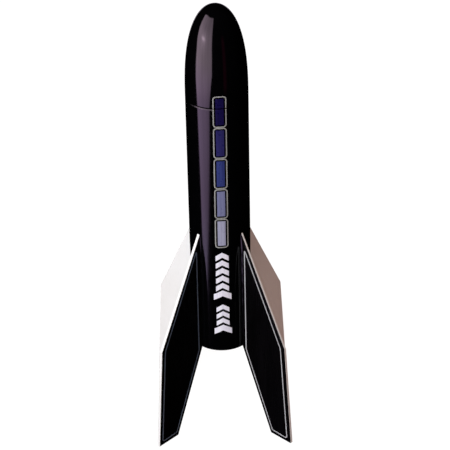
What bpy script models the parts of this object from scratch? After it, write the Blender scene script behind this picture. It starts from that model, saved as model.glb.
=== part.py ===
"""Kit-built model rocket: paper body tube, plastic nose cone, four swept sheet fins,
engine mount with a spring hook, engine, and the recovery train packed in the tube.

Dimensions are in millimetres and become metres through MM. +Z is up along the rocket's
axis, the fin feet stand on z = 0, the front is -Y, and +X is on the right seen from there.
A name ending in _Z with two values holds the lower and upper height of a piece.
"""

import math

import bpy
from mathutils import Matrix, Vector

MM = 0.001

# ---------------------------------------------------------------- shared dimensions (mm)
GAP = 0.15                           # clearance between a piece and the one it sits on
FILM_T = 0.15                        # decal film

TUBE_R = 20.8
TUBE_IN = TUBE_R - 0.55
TUBE_LEN = 190.0
TUBE_AFT = 62.4                      # height of the tube's aft end above the fin feet
TUBE_TOP = TUBE_AFT + TUBE_LEN

JOINT_GAP = 0.3                      # between the tube's top and the nose cone's rim
SHOULDER_Z = 230.7                   # lower end of the nose cone's shoulder

CASING_LEN = 70.0
CASING_Z = (56.1, 56.1 + CASING_LEN)

HOOK_TOP = 126.75                    # mid-thickness of the hook's upper arm
HOOK_PIVOT = (0.0, 9.2, HOOK_TOP)
HOOK_W = 3.2

PACK_Z = (158.0, 205.0)              # packed canopy


# ---------------------------------------------------------------- clean start
for old in list(bpy.data.objects):
    bpy.data.objects.remove(old)

PARTS = bpy.data.collections.new("model_rocket")
CUTTERS = bpy.data.collections.new("cutters")
bpy.context.scene.collection.children.link(PARTS)
bpy.context.scene.collection.children.link(CUTTERS)


# ---------------------------------------------------------------- objects and modifiers
def make_material(name, colour, roughness, metallic=0.0):
    """colour is linear RGB."""
    material = bpy.data.materials.new(name)
    material.use_nodes = True
    shader = material.node_tree.nodes["Principled BSDF"]
    shader.inputs["Base Color"].default_value = (*colour, 1.0)
    shader.inputs["Roughness"].default_value = roughness
    shader.inputs["Metallic"].default_value = metallic
    return material


def new_object(name, data):
    obj = bpy.data.objects.new(name, data)
    PARTS.objects.link(obj)
    return obj


def move_to(obj, collection):
    for current in list(obj.users_collection):
        current.objects.unlink(obj)
    collection.objects.link(obj)


def attach(obj, parent):
    """Parents an object without moving it."""
    bpy.context.view_layer.update()
    obj.parent = parent
    obj.matrix_parent_inverse = parent.matrix_world.inverted()


def finish(obj, material, parent):
    """Gives a piece its material and hangs it on its body's empty."""
    obj.data.materials.clear()
    obj.data.materials.append(material)
    attach(obj, parent)


def boolean(obj, tool, operation):
    """Adds a Boolean; the tool is a hidden helper, never part of the model itself."""
    move_to(tool, CUTTERS)
    tool.hide_render = True
    tool.display_type = "WIRE"
    modifier = obj.modifiers.new(operation.lower() + "_" + tool.name, "BOOLEAN")
    modifier.operation = operation
    modifier.solver = "EXACT"
    modifier.object = tool


def empty(name, location, parent=None):
    obj = new_object(name, None)
    obj.empty_display_size = 0.01
    obj.location = Vector(location) * MM
    bpy.context.view_layer.update()
    if parent is not None:
        attach(obj, parent)
    return obj


# ---------------------------------------------------------------- turned pieces
def turned(name, origin_z, profile, steps=64, ring=False, y=0.0):
    """A piece turned about a vertical axis at x = 0 and the given y.

    profile: (radius, height). ring closes it on itself; otherwise it starts and ends
    on the axis.
    """
    mesh = bpy.data.meshes.new(name)
    points = [(radius * MM, 0.0, (z - origin_z) * MM) for radius, z in profile]
    edges = [(i, i + 1) for i in range(len(points) - 1)]
    if ring:
        edges.append((len(points) - 1, 0))
    mesh.from_pydata(points, edges, [])
    obj = new_object(name, mesh)
    obj.location = (0.0, y * MM, origin_z * MM)
    screw = obj.modifiers.new("turn", "SCREW")
    screw.axis = "Z"
    screw.angle = 2 * math.pi
    screw.steps = steps
    screw.render_steps = steps
    screw.use_smooth_shade = True
    screw.use_merge_vertices = not ring
    screw.merge_threshold = 0.00001
    return obj


def tube(name, outer_r, inner_r, heights, steps=64, y=0.0):
    low, high = heights
    profile = [(outer_r, high), (outer_r, low), (inner_r, low), (inner_r, high)]
    return turned(name, low, profile, steps, ring=True, y=y)


def disc(name, radius, heights, steps):
    low, high = heights
    return turned(name, low, [(0, high), (radius, high), (radius, low), (0, low)], steps)


# ---------------------------------------------------------------- flat pieces and wires
def sheet_curve(name, outlines, thickness):
    """Closed outlines in the XY plane (a second one is a hole), extruded both ways."""
    curve = bpy.data.curves.new(name, "CURVE")
    curve.dimensions = "2D"
    curve.fill_mode = "BOTH"
    curve.extrude = thickness * MM / 2
    for outline in outlines:
        spline = curve.splines.new("POLY")
        spline.points.add(len(outline) - 1)
        for point, (x, y) in zip(spline.points, outline):
            point.co = (x * MM, y * MM, 0.0, 1.0)
        spline.use_cyclic_u = True
    return curve


def slab(name, outlines, heights):
    """Level outlines, seen from above, filling the span between two heights."""
    low, high = heights
    obj = new_object(name, sheet_curve(name, outlines, high - low))
    obj.location = (0.0, 0.0, (low + high) / 2 * MM)
    return obj


def arc(radius, start, end, count):
    """Points on a circle; angles in degrees from +X, anticlockwise seen from above."""
    angles = [math.radians(start + (end - start) * i / count) for i in range(count + 1)]
    return [(radius * math.cos(a), radius * math.sin(a)) for a in angles]


def sector(name, inner_r, outer_r, angles, heights):
    """A curved strip that follows a cylinder."""
    outline = arc(outer_r, *angles, 8) + arc(inner_r, *angles, 8)[::-1]
    return slab(name, [outline], heights)


def wire(name, points, radius, cyclic=False, resolution=2, end_swell=()):
    """A round wire or cord. end_swell scales the radius at the last points."""
    curve = bpy.data.curves.new(name, "CURVE")
    curve.dimensions = "3D"
    curve.bevel_depth = radius * MM
    curve.bevel_resolution = resolution
    curve.use_fill_caps = True
    spline = curve.splines.new("POLY")
    spline.points.add(len(points) - 1)
    swell = [1.0] * (len(points) - len(end_swell)) + list(end_swell)
    for target, (x, y, z), share in zip(spline.points, points, swell):
        target.co = (x * MM, y * MM, z * MM, 1.0)
        target.radius = share
    spline.use_cyclic_u = cyclic
    return new_object(name, curve)


def upright(azimuth):
    """Stands a sheet drawn as (radius, height) in its radial plane.

    The columns are the outward, upward and sideways directions.
    """
    angle = math.radians(azimuth)
    outward = Vector((math.cos(angle), math.sin(angle), 0.0))
    upward = Vector((0.0, 0.0, 1.0))
    sideways = outward.cross(upward)
    return Matrix((outward, upward, sideways)).transposed().to_4x4()


# ---------------------------------------------------------------- Boolean tools
FACING_X = (0.0, math.pi / 2, 0.0)
FACING_Y = (math.pi / 2, 0.0, 0.0)


def eye_tool(name, z, major, minor, rotation):
    """A torus on the rocket's axis; rotation points its hole along X or Y."""
    bpy.ops.mesh.primitive_torus_add(
        major_segments=20, minor_segments=8,
        major_radius=major * MM, minor_radius=minor * MM,
        location=(0.0, 0.0, z * MM), rotation=rotation)
    obj = bpy.context.object
    obj.name = name
    return obj


def box_tool(name, width, y_range, heights):
    """A box centred on x = 0."""
    low = Vector((-width / 2, y_range[0], heights[0]))
    high = Vector((width / 2, y_range[1], heights[1]))
    bpy.ops.mesh.primitive_cube_add(size=1.0, location=(low + high) / 2 * MM)
    obj = bpy.context.object
    obj.name = name
    obj.scale = (high - low) * MM
    return obj


# ---------------------------------------------------------------- outline geometry
MITRE_LIMIT = 0.25                   # least cosine used, so sharp corners don't run far out


def shifted(path, distance, closed=False):
    """A path moved to the left of its direction of travel, with mitred corners."""
    points = [Vector(p) for p in path]
    last = len(points) - 1
    result = []
    for i, point in enumerate(points):
        before = point - points[i - 1]
        after = points[(i + 1) % len(points)] - point
        if not closed and i == 0:
            before = after
        if not closed and i == last:
            after = before
        normals = [Vector((-d.y, d.x)).normalized() for d in (before, after)]
        mitre = (normals[0] + normals[1]).normalized()
        reach = distance / max(MITRE_LIMIT, mitre.dot(normals[0]))
        result.append(tuple(point + mitre * reach))
    return result


def half_hull(points):
    """One side of a convex hull, without its last point."""
    chain = []
    for x, y in points:
        while len(chain) > 1:
            (x0, y0), (x1, y1) = chain[-2:]
            if (x1 - x0) * (y - y0) - (y1 - y0) * (x - x0) > 0:
                break
            chain.pop()
        chain.append((x, y))
    return chain[:-1]


def hull(points):
    """Convex outline round a set of points, anticlockwise."""
    ordered = sorted({(round(x, 6), round(y, 6)) for x, y in points})
    return half_hull(ordered) + half_hull(ordered[::-1])


# ---------------------------------------------------------------- materials
GLOSS = {"colour": (0.012, 0.011, 0.014), "roughness": 0.12}
black_gloss = make_material("gloss_black_paint", **GLOSS)
nose_black = make_material("gloss_black_plastic", **GLOSS)
fin_white = make_material("white_painted_sheet", colour=(0.87, 0.86, 0.85), roughness=0.35)
film_blue = make_material("blue_window_film", colour=(0.12, 0.12, 0.30), roughness=0.25)
film_white = make_material("white_marking_film", colour=(0.80, 0.78, 0.88), roughness=0.25)
film_grey = make_material("grey_stripe_film", colour=(0.30, 0.30, 0.33), roughness=0.25)
kraft = make_material("kraft_paper_tube", colour=(0.55, 0.40, 0.25), roughness=0.8)
card = make_material("grey_card", colour=(0.50, 0.46, 0.40), roughness=0.85)
paper_white = make_material("white_paper", colour=(0.85, 0.84, 0.80), roughness=0.85)
spring_steel = make_material(
    "spring_steel", colour=(0.55, 0.55, 0.56), roughness=0.3, metallic=1.0)
band_paper = make_material("yellow_paper_band", colour=(0.75, 0.62, 0.25), roughness=0.6)
clay = make_material("grey_clay", colour=(0.42, 0.40, 0.38), roughness=0.9)
propellant = make_material("black_propellant", colour=(0.03, 0.03, 0.03), roughness=0.95)
delay_grey = make_material("delay_composition", colour=(0.12, 0.12, 0.12), roughness=0.95)
casing_tan = make_material("casing_paper", colour=(0.62, 0.47, 0.30), roughness=0.75)
brass = make_material("swivel_brass", colour=(0.80, 0.62, 0.30), roughness=0.28, metallic=1.0)
steel_wire = make_material("steel_wire", colour=(0.60, 0.60, 0.61), roughness=0.25, metallic=1.0)
elastic = make_material("white_elastic", colour=(0.82, 0.81, 0.78), roughness=0.8)
canopy_sheet = make_material("orange_canopy_sheet", colour=(0.80, 0.24, 0.05), roughness=0.4)
line_white = make_material("white_line", colour=(0.85, 0.85, 0.83), roughness=0.7)
tissue = make_material("wadding_tissue", colour=(0.78, 0.80, 0.74), roughness=0.95)


# ---------------------------------------------------------------- bodies
airframe = empty("airframe_origin", (0, 0, 0))
recovery = empty("recovery_axis", (0, 0, PACK_Z[0]), airframe)
nose = empty("nose_axis", (0, 0, SHOULDER_Z), recovery)
engine = empty("engine_axis", (0, 0, CASING_Z[0]), airframe)
hook = empty("hook_pivot", HOOK_PIVOT, airframe)


# ---------------------------------------------------------------- body tube
finish(tube("body_tube", TUBE_R, TUBE_IN, (TUBE_AFT, TUBE_TOP)), black_gloss, airframe)


# ---------------------------------------------------------------- nose cone
# outside: (r/R)^POWER_R + (h/H)^POWER_H = 1 above the joint
NOSE_H = 64.5
POWER_R = 2.2
POWER_H = 2.6
NOSE_WALL = 1.7
HOLLOW_INSET = 1.8                   # hollow above the tube's top and below the nose tip
SHOULDER_R = 19.9
SHOULDER_IN = 18.4


def dome(radius, base, height, count):
    """From the tip down to the base, as (radius, height)."""
    points = [(0.0, base + height)]
    for i in range(1, count + 1):
        angle = math.pi / 2 * (1 - i / count)
        points.append((radius * math.cos(angle) ** (2 / POWER_R),
                       base + height * math.sin(angle) ** (2 / POWER_H)))
    return points


def nose_cone():
    """The outside down to the shoulder's end, then the hollow back up to the axis."""
    rim_z = TUBE_TOP + JOINT_GAP
    outside = dome(TUBE_R, TUBE_TOP, NOSE_H, 16)
    outside[-1] = (TUBE_R, rim_z)
    hollow = dome(TUBE_R - NOSE_WALL, TUBE_TOP + HOLLOW_INSET, NOSE_H - 2 * HOLLOW_INSET, 8)
    shoulder = [
        (SHOULDER_R, rim_z),
        (SHOULDER_R, SHOULDER_Z + 1.2), (SHOULDER_R - 0.5, SHOULDER_Z),
        (SHOULDER_IN, SHOULDER_Z), (SHOULDER_IN, TUBE_TOP - 1.5),
    ]
    return turned("nose_cone", SHOULDER_Z, outside + shoulder + hollow[::-1])


def nose_base():
    """The plug in the shoulder, with an eyelet below."""
    obj = turned("nose_base", SHOULDER_Z, [
        (0, 234.2), (17.8, 234.2), (18.1, 233.9), (18.1, 231.4), (0, 231.4)])
    eyelet = eye_tool("eyelet_tool", z=229.4, major=2.4, minor=0.6, rotation=FACING_Y)
    boolean(obj, eyelet, "UNION")
    return obj


def swivel_eye():
    """The headed pin held in the barrel, with the eye on top."""
    obj = turned("swivel_eye", 221.1, [
        (0, 224.9), (0.42, 224.9), (0.42, 222.0), (0.95, 222.0), (0.95, 221.1), (0, 221.1)],
        steps=16)
    eye = eye_tool("eye_tool", z=226.4, major=2.0, minor=0.45, rotation=FACING_X)
    boolean(obj, eye, "UNION")
    return obj


finish(nose_cone(), nose_black, nose)
finish(nose_base(), nose_black, nose)
finish(swivel_eye(), brass, nose)


# ---------------------------------------------------------------- fins and their pinstripes
FIN_T = 2.38
FIN_ROOT_R = TUBE_R + GAP
# corners of the sheet, as (radius, height)
FIN_OUTLINE = (
    (FIN_ROOT_R, TUBE_AFT),          # root, aft end, level with the tube's end
    (47.4, 0.0),                     # foot, inner corner
    (66.2, 0.0),                     # foot, outer corner
    (60.15, 77.5),                   # shoulder of the outer edge
    (FIN_ROOT_R, 154.3),             # root, forward end
)
# degrees from +X, anticlockwise seen from above
FIN_AZIMUTH = {"front_right": -45.0, "back_right": 45.0, "back_left": 135.0, "front_left": 225.0}
# middle of the stripe, as (radius, height), clockwise, so its left is the outside
STRIPE_LINE = ((24.2, 140.9), (56.7, 76.9), (62.7, 4.1), (61.4, 2.9), (48.9, 3.3), (24.4, 61.4))
STRIPE_W = 0.9

fin_curve = sheet_curve("fin_sheet", [FIN_OUTLINE], FIN_T)
stripe_edges = [shifted(STRIPE_LINE, side * STRIPE_W / 2, closed=True) for side in (1, -1)]
stripe_curve = sheet_curve("stripe_sheet", stripe_edges, FILM_T)

for where, azimuth in FIN_AZIMUTH.items():
    standing = upright(azimuth)
    fin = new_object("fin_" + where, fin_curve)
    fin.matrix_world = standing
    finish(fin, fin_white, airframe)

    # front fins carry the stripe on the face to the front, back fins on the face to the back
    outward = standing.col[0].xyz
    sideways = standing.col[2].xyz
    face = math.copysign(1.0, sideways.y * outward.y)
    lift = face * (FIN_T / 2 + GAP + FILM_T / 2) * MM
    stripe = new_object("stripe_" + where, stripe_curve)
    stripe.matrix_world = Matrix.Translation(sideways * lift) @ standing
    finish(stripe, film_grey, airframe)


# ---------------------------------------------------------------- decals on the tube and nose
# azimuths in degrees from the front (-Y), towards +X
WINDOW_AZ = (-9.4, 17.0)
WINDOW_MARGIN = 0.2                  # film edge to the joint's edge, on either side
WINDOW_Z = (146.8, TUBE_TOP - WINDOW_MARGIN)
WINDOW_NOSE_Z = (TUBE_TOP + JOINT_GAP + WINDOW_MARGIN, 261.9)
MARK_AZ = (-13.0, 21.0)
MARK_Z = (76.0, 145.0)


def film_band(name, azimuths, heights):
    """A curved strip of film at the tube's radius."""
    inner_r = TUBE_R + GAP
    angles = [azimuth - 90 for azimuth in azimuths]
    return sector(name, inner_r, inner_r + FILM_T, angles, heights)


finish(film_band("window_decal", WINDOW_AZ, WINDOW_Z), film_blue, airframe)
finish(film_band("window_decal_nose", WINDOW_AZ, WINDOW_NOSE_Z), film_blue, nose)
finish(film_band("marking_decal", MARK_AZ, MARK_Z), film_white, airframe)


# ---------------------------------------------------------------- launch lug, on the back
LUG_R = 2.3
LUG_IN = 2.0
LUG_Z = (98.0, 158.0)

lug = tube("launch_lug", LUG_R, LUG_IN, LUG_Z, steps=20, y=TUBE_R + GAP + LUG_R)
finish(lug, black_gloss, airframe)


# ---------------------------------------------------------------- engine mount
MOUNT_R = 9.35
MOUNT_IN = 9.0
MOUNT_Z = (TUBE_AFT, TUBE_AFT + CASING_LEN)
SLIT_W = HOOK_W + 0.6                # slit in the mount tube for the hook's upper arm
SLIT_Y = (7.5, 10.5)
SLIT_Z = (125.9, 127.6)
BLOCK_R = 8.7
BLOCK_IN = 6.5
BLOCK_Z = (MOUNT_Z[1] - 5.0, MOUNT_Z[1])
RING_R = 19.95
RING_IN = 9.65
RING_T = 1.6
RING_AFT = 68.2                      # undersides of the two rings
RING_FWD = 128.8
NOTCH_W = HOOK_W + 1.0               # notch in the aft ring round the hook
NOTCH_Y = (8.0, 16.5)
NOTCH_Z = (66.0, 72.0)
BAND_R = 9.75                        # inside of the retainer band
BAND_WALL = 0.4
BAND_BACK = (2.2, 11.35)             # its inner corner behind the hook, as (x, y)
BAND_CORNER_X = 0.3                  # the outer corner stands this much wider
BAND_Z = (116.0, 122.0)
HOOK_T = 0.7
HOOK_Y = 10.0                        # mid-thickness of the long leg
# middle of the bent strip seen edge-on, as (radius, height)
HOOK_PATH = ((7.4, HOOK_TOP), (HOOK_Y, HOOK_TOP), (HOOK_Y, 55.45), (6.9, 55.45), (10.7, 50.2))


def engine_tube():
    obj = tube("engine_tube", MOUNT_R, MOUNT_IN, MOUNT_Z, steps=32)
    boolean(obj, box_tool("slit_tool", SLIT_W, SLIT_Y, SLIT_Z), "DIFFERENCE")
    return obj


def centering_ring(name, low):
    return tube(name, RING_R, RING_IN, (low, low + RING_T))


def aft_ring():
    obj = centering_ring("aft_centering_ring", RING_AFT)
    boolean(obj, box_tool("notch_tool", NOTCH_W, NOTCH_Y, NOTCH_Z), "DIFFERENCE")
    return obj


def band_outline(radius, corner):
    """The hull of a circle and two corners at the back."""
    x, y = corner
    return hull(arc(radius, 0, 360, 40) + [(-x, y), (x, y)])


def retainer_band():
    """Paper band round the mount tube and over the hook."""
    back_x, back_y = BAND_BACK
    inner = band_outline(BAND_R, BAND_BACK)
    outer = band_outline(BAND_R + BAND_WALL, (back_x + BAND_CORNER_X, back_y + BAND_WALL))
    return slab("hook_retainer_ring", [outer, inner], BAND_Z)


def engine_hook():
    """A bent spring strip standing at the back."""
    outline = shifted(HOOK_PATH, HOOK_T / 2) + shifted(HOOK_PATH, -HOOK_T / 2)[::-1]
    obj = new_object("engine_hook", sheet_curve("engine_hook", [outline], HOOK_W))
    obj.matrix_world = upright(90.0)
    return obj


finish(engine_tube(), kraft, airframe)
finish(tube("engine_block", BLOCK_R, BLOCK_IN, BLOCK_Z, steps=32), kraft, airframe)
finish(centering_ring("forward_centering_ring", RING_FWD), card, airframe)
finish(aft_ring(), card, airframe)
finish(retainer_band(), band_paper, airframe)
finish(engine_hook(), spring_steel, hook)


# ---------------------------------------------------------------- engine
ENGINE_R = 8.8
CASING_IN = 6.35
FILL_R = CASING_IN - GAP
FILL_STEPS = 28
LAYER_GAP = 0.3                      # between one filling and the next
NOZZLE_Z = (CASING_Z[0] + 0.5, 66.6)
GRAIN_Z = (NOZZLE_Z[1] + LAYER_GAP, 88.0)
DELAY_Z = (GRAIN_Z[1] + LAYER_GAP, 104.0)
CHARGE_Z = (DELAY_Z[1] + LAYER_GAP, 112.0)
CAP_Z = (CHARGE_Z[1] + LAYER_GAP, 115.3)


def nozzle():
    """A plug with a throat that widens both ways."""
    low, high = NOZZLE_Z
    return turned("engine_nozzle", low, [
        (FILL_R, high), (FILL_R, low), (3.6, low), (1.6, 60.6), (1.6, 63.2), (2.4, high)],
        FILL_STEPS, ring=True)


def propellant_grain():
    """A solid filling with a shallow tapered hollow below."""
    low, high = GRAIN_Z
    return turned("propellant_grain", low, [
        (0, high), (FILL_R, high), (FILL_R, low), (2.0, low), (1.2, 72.0), (0, 72.6)],
        FILL_STEPS)


def engine_cap():
    """A disc with its upper edge bevelled."""
    low, high = CAP_Z
    return turned("engine_cap", low, [
        (0, high), (FILL_R - 0.6, high), (FILL_R, high - 0.5), (FILL_R, low), (0, low)],
        FILL_STEPS)


finish(tube("engine_casing", ENGINE_R, CASING_IN, CASING_Z, steps=40), casing_tan, engine)
finish(nozzle(), clay, engine)
finish(propellant_grain(), propellant, engine)
finish(disc("delay_grain", FILL_R, DELAY_Z, FILL_STEPS), delay_grey, engine)
finish(disc("ejection_charge", FILL_R, CHARGE_Z, FILL_STEPS), propellant, engine)
finish(engine_cap(), clay, engine)


# ---------------------------------------------------------------- recovery train
WADDING_R = 17.0
WADDING_Z = (136.0, 154.0)
PACK_R = 15.4
LINE_R = 0.35
LINE_WRAP_R = 16.5
LINE_WRAP_Z = (170.0, 192.0)
LINE_TURNS = 3
LINE_STEPS = 16 * LINE_TURNS
# the lines from the wrap up the front and in through the snap hook, as (x, y, z)
LINE_LEAD = [
    (0, -16.5, 200.0), (0, -16.2, 204.5), (0, -14.6, 207.0), (0, -11.0, 208.2),
    (0, -6.0, 210.6), (0, -3.2, 212.6), (0, -1.2, 213.4), (0, 0.8, 213.5),
    (0, 1.8, 213.3), (0, 2.7, 213.1),
]
SNAP_WIRE_R = 0.35
SNAP_POINTS = 24
SNAP_HALF_W = 2.2
SNAP_NARROWING = 0.5                 # taken off the half-width towards the top
SNAP_SQUARENESS = 0.8                # below 1, the sides are fuller than an ellipse's
SNAP_MID_Z = 212.8
SNAP_HALF_H = 4.4


def wadding():
    low, high = WADDING_Z
    return turned("recovery_wadding", low, [
        (0, high), (13.0, high), (16.2, high - 2.0), (WADDING_R, high - 5.0),
        (WADDING_R, low + 4.0), (15.8, low + 1.2), (13.0, low), (0, low)], steps=28)


def parachute_canopy():
    low, high = PACK_Z
    return turned("parachute_canopy", low, [
        (0, high), (9.0, high), (13.8, high - 1.6), (PACK_R, high - 5.0),
        (PACK_R, low + 5.0), (13.8, low + 1.6), (9.0, low), (0, low)], steps=32)


def shroud_lines():
    """Wound round the packed canopy from the front, then up and through the snap hook."""
    low, high = LINE_WRAP_Z
    circle = arc(LINE_WRAP_R, -90, -90 + 360 * LINE_TURNS, LINE_STEPS)
    wrap = [(x, y, low + (high - low) * i / LINE_STEPS) for i, (x, y) in enumerate(circle)]
    return wire("shroud_lines", wrap + LINE_LEAD, LINE_R, resolution=1, end_swell=(2.6, 2.2))


def swivel_barrel():
    """A hollow barrel, open at the top for the pin, with an eye below."""
    obj = turned("swivel_barrel", 219.0, [
        (0, 220.6), (1.2, 220.6), (1.2, 222.4), (0.65, 222.4), (0.65, 223.5),
        (1.1, 223.5), (1.6, 222.9), (1.6, 219.6), (1.1, 219.0), (0, 219.0)], steps=16)
    eye = eye_tool("barrel_eye_tool", z=217.6, major=1.6, minor=0.4, rotation=FACING_X)
    boolean(obj, eye, "UNION")
    return obj


def snap_hook():
    """A closed oval loop of wire in the XZ plane, narrower at the top."""
    points = []
    for i in range(SNAP_POINTS):
        angle = 2 * math.pi * i / SNAP_POINTS
        across, rise = math.cos(angle), math.sin(angle)
        half_width = SNAP_HALF_W - SNAP_NARROWING * max(rise, 0.0)
        x = half_width * math.copysign(abs(across) ** SNAP_SQUARENESS, across)
        points.append((x, 0.0, SNAP_MID_Z + SNAP_HALF_H * rise))
    return wire("snap_hook", points, SNAP_WIRE_R, cyclic=True)


finish(wadding(), tissue, recovery)
finish(parachute_canopy(), canopy_sheet, recovery)
finish(shroud_lines(), line_white, recovery)
finish(swivel_barrel(), brass, recovery)
finish(snap_hook(), steel_wire, recovery)


# ---------------------------------------------------------------- shock cord and its mount
TAB_R = (19.05, 20.0)                # inner and outer radius
TAB_ANGLES = (163, 197)              # centred on -X
TAB_Z = (197.0, 222.0)
CORD_R = 0.75
CORD_WALL_R = 18.1
CORD_FOLDS = 4
CORD_STEPS = 8 * CORD_FOLDS
CORD_MID_Z = 196.0
CORD_FOLD_H = 10.5                   # reach of each fold above and below its middle
# the cord from the wall at the back in to the snap hook, as (x, y, z)
CORD_LEAD = [
    (0, 17.6, 208.3), (0, 16.2, 209.7), (0, 13.0, 210.2), (0, 7.0, 210.2),
    (0, 2.0, 210.2), (0, -1.2, 210.2), (0, -2.0, 210.2), (0, -3.4, 210.2),
]


def shock_cord():
    """From the tab, in vertical folds round a quarter of the wall, then in over the pack."""
    folds = []
    for i, (x, y) in enumerate(arc(CORD_WALL_R, 180, 90, CORD_STEPS)):
        phase = 2 * math.pi * CORD_FOLDS * i / CORD_STEPS
        folds.append((x, y, CORD_MID_Z + CORD_FOLD_H * math.cos(phase)))
    return wire("shock_cord", folds + CORD_LEAD, CORD_R, end_swell=(2.0, 1.7))


# folded paper tab on the inside of the tube wall
finish(sector("shock_cord_mount", *TAB_R, TAB_ANGLES, TAB_Z), paper_white, airframe)
finish(shock_cord(), elastic, airframe)
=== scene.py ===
"""Looks for a model rocket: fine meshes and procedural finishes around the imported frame.

The rocket stands upright: its axis is the Z axis, the fins' feet are at z = 0 and the nose is
at the top. The front looks to -Y and the right side to +X. Lengths are in metres; numbers that
go through mm or points_mm, or that are multiplied by MM, are in millimetres.
"""

import math

import bmesh
import bpy
import numpy as np
from mathutils import Matrix, Vector, noise


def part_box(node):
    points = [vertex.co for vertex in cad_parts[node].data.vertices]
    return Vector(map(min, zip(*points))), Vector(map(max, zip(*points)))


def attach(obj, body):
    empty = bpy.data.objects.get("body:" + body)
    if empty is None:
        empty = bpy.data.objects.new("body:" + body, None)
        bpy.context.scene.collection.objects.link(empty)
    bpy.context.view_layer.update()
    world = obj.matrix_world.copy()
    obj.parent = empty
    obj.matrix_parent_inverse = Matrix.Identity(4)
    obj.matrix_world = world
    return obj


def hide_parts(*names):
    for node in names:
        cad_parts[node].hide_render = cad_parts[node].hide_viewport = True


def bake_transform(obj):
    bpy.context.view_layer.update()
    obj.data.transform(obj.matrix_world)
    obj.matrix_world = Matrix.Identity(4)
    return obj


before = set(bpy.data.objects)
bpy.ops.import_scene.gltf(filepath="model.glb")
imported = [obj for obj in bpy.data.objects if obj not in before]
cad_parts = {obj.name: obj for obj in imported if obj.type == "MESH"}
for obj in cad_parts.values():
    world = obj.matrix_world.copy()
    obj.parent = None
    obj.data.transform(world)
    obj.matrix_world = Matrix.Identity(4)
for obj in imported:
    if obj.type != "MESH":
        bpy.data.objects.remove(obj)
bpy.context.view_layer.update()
MM = 0.001
DEGREES = 180 / math.pi


def mm(*values):
    return [value * MM for value in values]


def points_mm(table, base=0.0):
    """2D points in metres from a table in millimetres; base is added to the second column."""
    return [(first * MM, base + second * MM) for first, second in table]


# ---------------------------------------------------------------- driving sizes
tube_low, tube_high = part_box("body_tube")
TUBE_R = tube_high.x
AFT, TOP = tube_low.z, tube_high.z              # ends of the tube
TUBE_INNER_R = TUBE_R - 0.55 * MM
nose_low, nose_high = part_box("nose_cone")
NOSE_H = nose_high.z - TOP
NOSE_POWER_R, NOSE_POWER_Z = 2.2, 2.6           # powers of the nose's superellipse
JOINT = 0.5 * MM                                # gap between the tube's end and the nose
TUBE_RIM, NOSE_RIM = 0.38 * MM, 0.34 * MM       # rounding on either side of the joint
RIM_ZONE = 1.3 * MM                             # height of the rim band at the tube's mouth, where the painted highlight lies
FIN_HALF = 2.38 * MM / 2                        # half the thickness of a fin
RING_R, RING_BORE_R = 19.95 * MM, 9.65 * MM     # centering rings
MOUNT_R, MOUNT_INNER_R = 9.35 * MM, 9.0 * MM
HOOK_TOP = 126.75 * MM                          # height of the hook's upper arm and its slit
NOZZLE_R = 6.2 * MM


def skin(z):
    """Outside radius of the finished surface, with the rounded rims at the joint."""
    if z <= TOP:
        past = max(0.0, z - (TOP - TUBE_RIM))
        return TUBE_R - TUBE_RIM + math.sqrt(max(0.0, TUBE_RIM ** 2 - past ** 2))
    share = min(1.0, max(0.0, (z - TOP) / NOSE_H))
    radius = TUBE_R * max(0.0, 1 - share ** NOSE_POWER_Z) ** (1 / NOSE_POWER_R)
    below = max(0.0, TOP + JOINT + NOSE_RIM - z)
    return radius - NOSE_RIM + math.sqrt(max(0.0, NOSE_RIM ** 2 - below ** 2))


# ---------------------------------------------------------------- objects
def add_object(name, data):
    obj = bpy.data.objects.new(name, data)
    bpy.context.scene.collection.objects.link(obj)
    return obj


def to_mesh(name, shape):
    mesh = bpy.data.meshes.new(name)
    shape.to_mesh(mesh)
    shape.free()
    return mesh


def smooth(mesh, sharp=None):
    """Smooth shading, with edges above the angle sharp (degrees) kept sharp."""
    mesh.shade_smooth()
    if sharp is not None:
        mesh.set_sharp_from_angle(angle=math.radians(sharp))
    return mesh


def solid(name, shape, sharp=35.0):
    bmesh.ops.remove_doubles(shape, verts=shape.verts, dist=1e-8)
    bmesh.ops.recalc_face_normals(shape, faces=shape.faces)
    return add_object(name, smooth(to_mesh(name, shape), sharp))


def join(name, pieces, sharp=35.0):
    """Several closed shapes as one object."""
    whole = bmesh.new()
    for piece in pieces:
        bmesh.ops.recalc_face_normals(piece, faces=piece.faces)
        mesh = to_mesh("tmp", piece)
        whole.from_mesh(mesh)
        bpy.data.meshes.remove(mesh)
    return add_object(name, smooth(to_mesh(name, whole), sharp))


def sheet(name, shape, thickness):
    """An open surface thickened evenly to both sides."""
    obj = add_object(name, smooth(to_mesh(name, shape)))
    modifier = obj.modifiers.new("sheet", "SOLIDIFY")
    modifier.thickness = thickness
    modifier.offset = 0.0
    return obj


def evaluated_mesh(obj):
    bpy.context.view_layer.update()
    graph = bpy.context.evaluated_depsgraph_get()
    return bpy.data.meshes.new_from_object(obj.evaluated_get(graph))


def firm(obj):
    """Large faces keep their own normals, so only the small bevels between them shade round."""
    modifier = obj.modifiers.new("normals", "WEIGHTED_NORMAL")
    modifier.mode = "FACE_AREA"
    modifier.keep_sharp = True
    modifier.weight = 80
    return obj


def put(obj, body, slot, *materials, replaces=None):
    """Gives obj its materials and tells the frame which body carries it."""
    obj.data.materials.clear()
    for material in materials:
        obj.data.materials.append(material)
    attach(obj, body)
    if replaces:
        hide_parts(replaces)


def paint_faces(obj, rule):
    """Gives each face the material index that rule(centre, normal) returns."""
    for face in obj.data.polygons:
        face.material_index = rule(face.center, face.normal)


def faces_inwards(centre, normal, axis_y=0.0):
    """Whether a face looks at the upright axis through (0, axis_y)."""
    x, y = centre.x, centre.y - axis_y
    return x * normal.x + y * normal.y < -0.5 * math.hypot(x, y)


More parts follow.
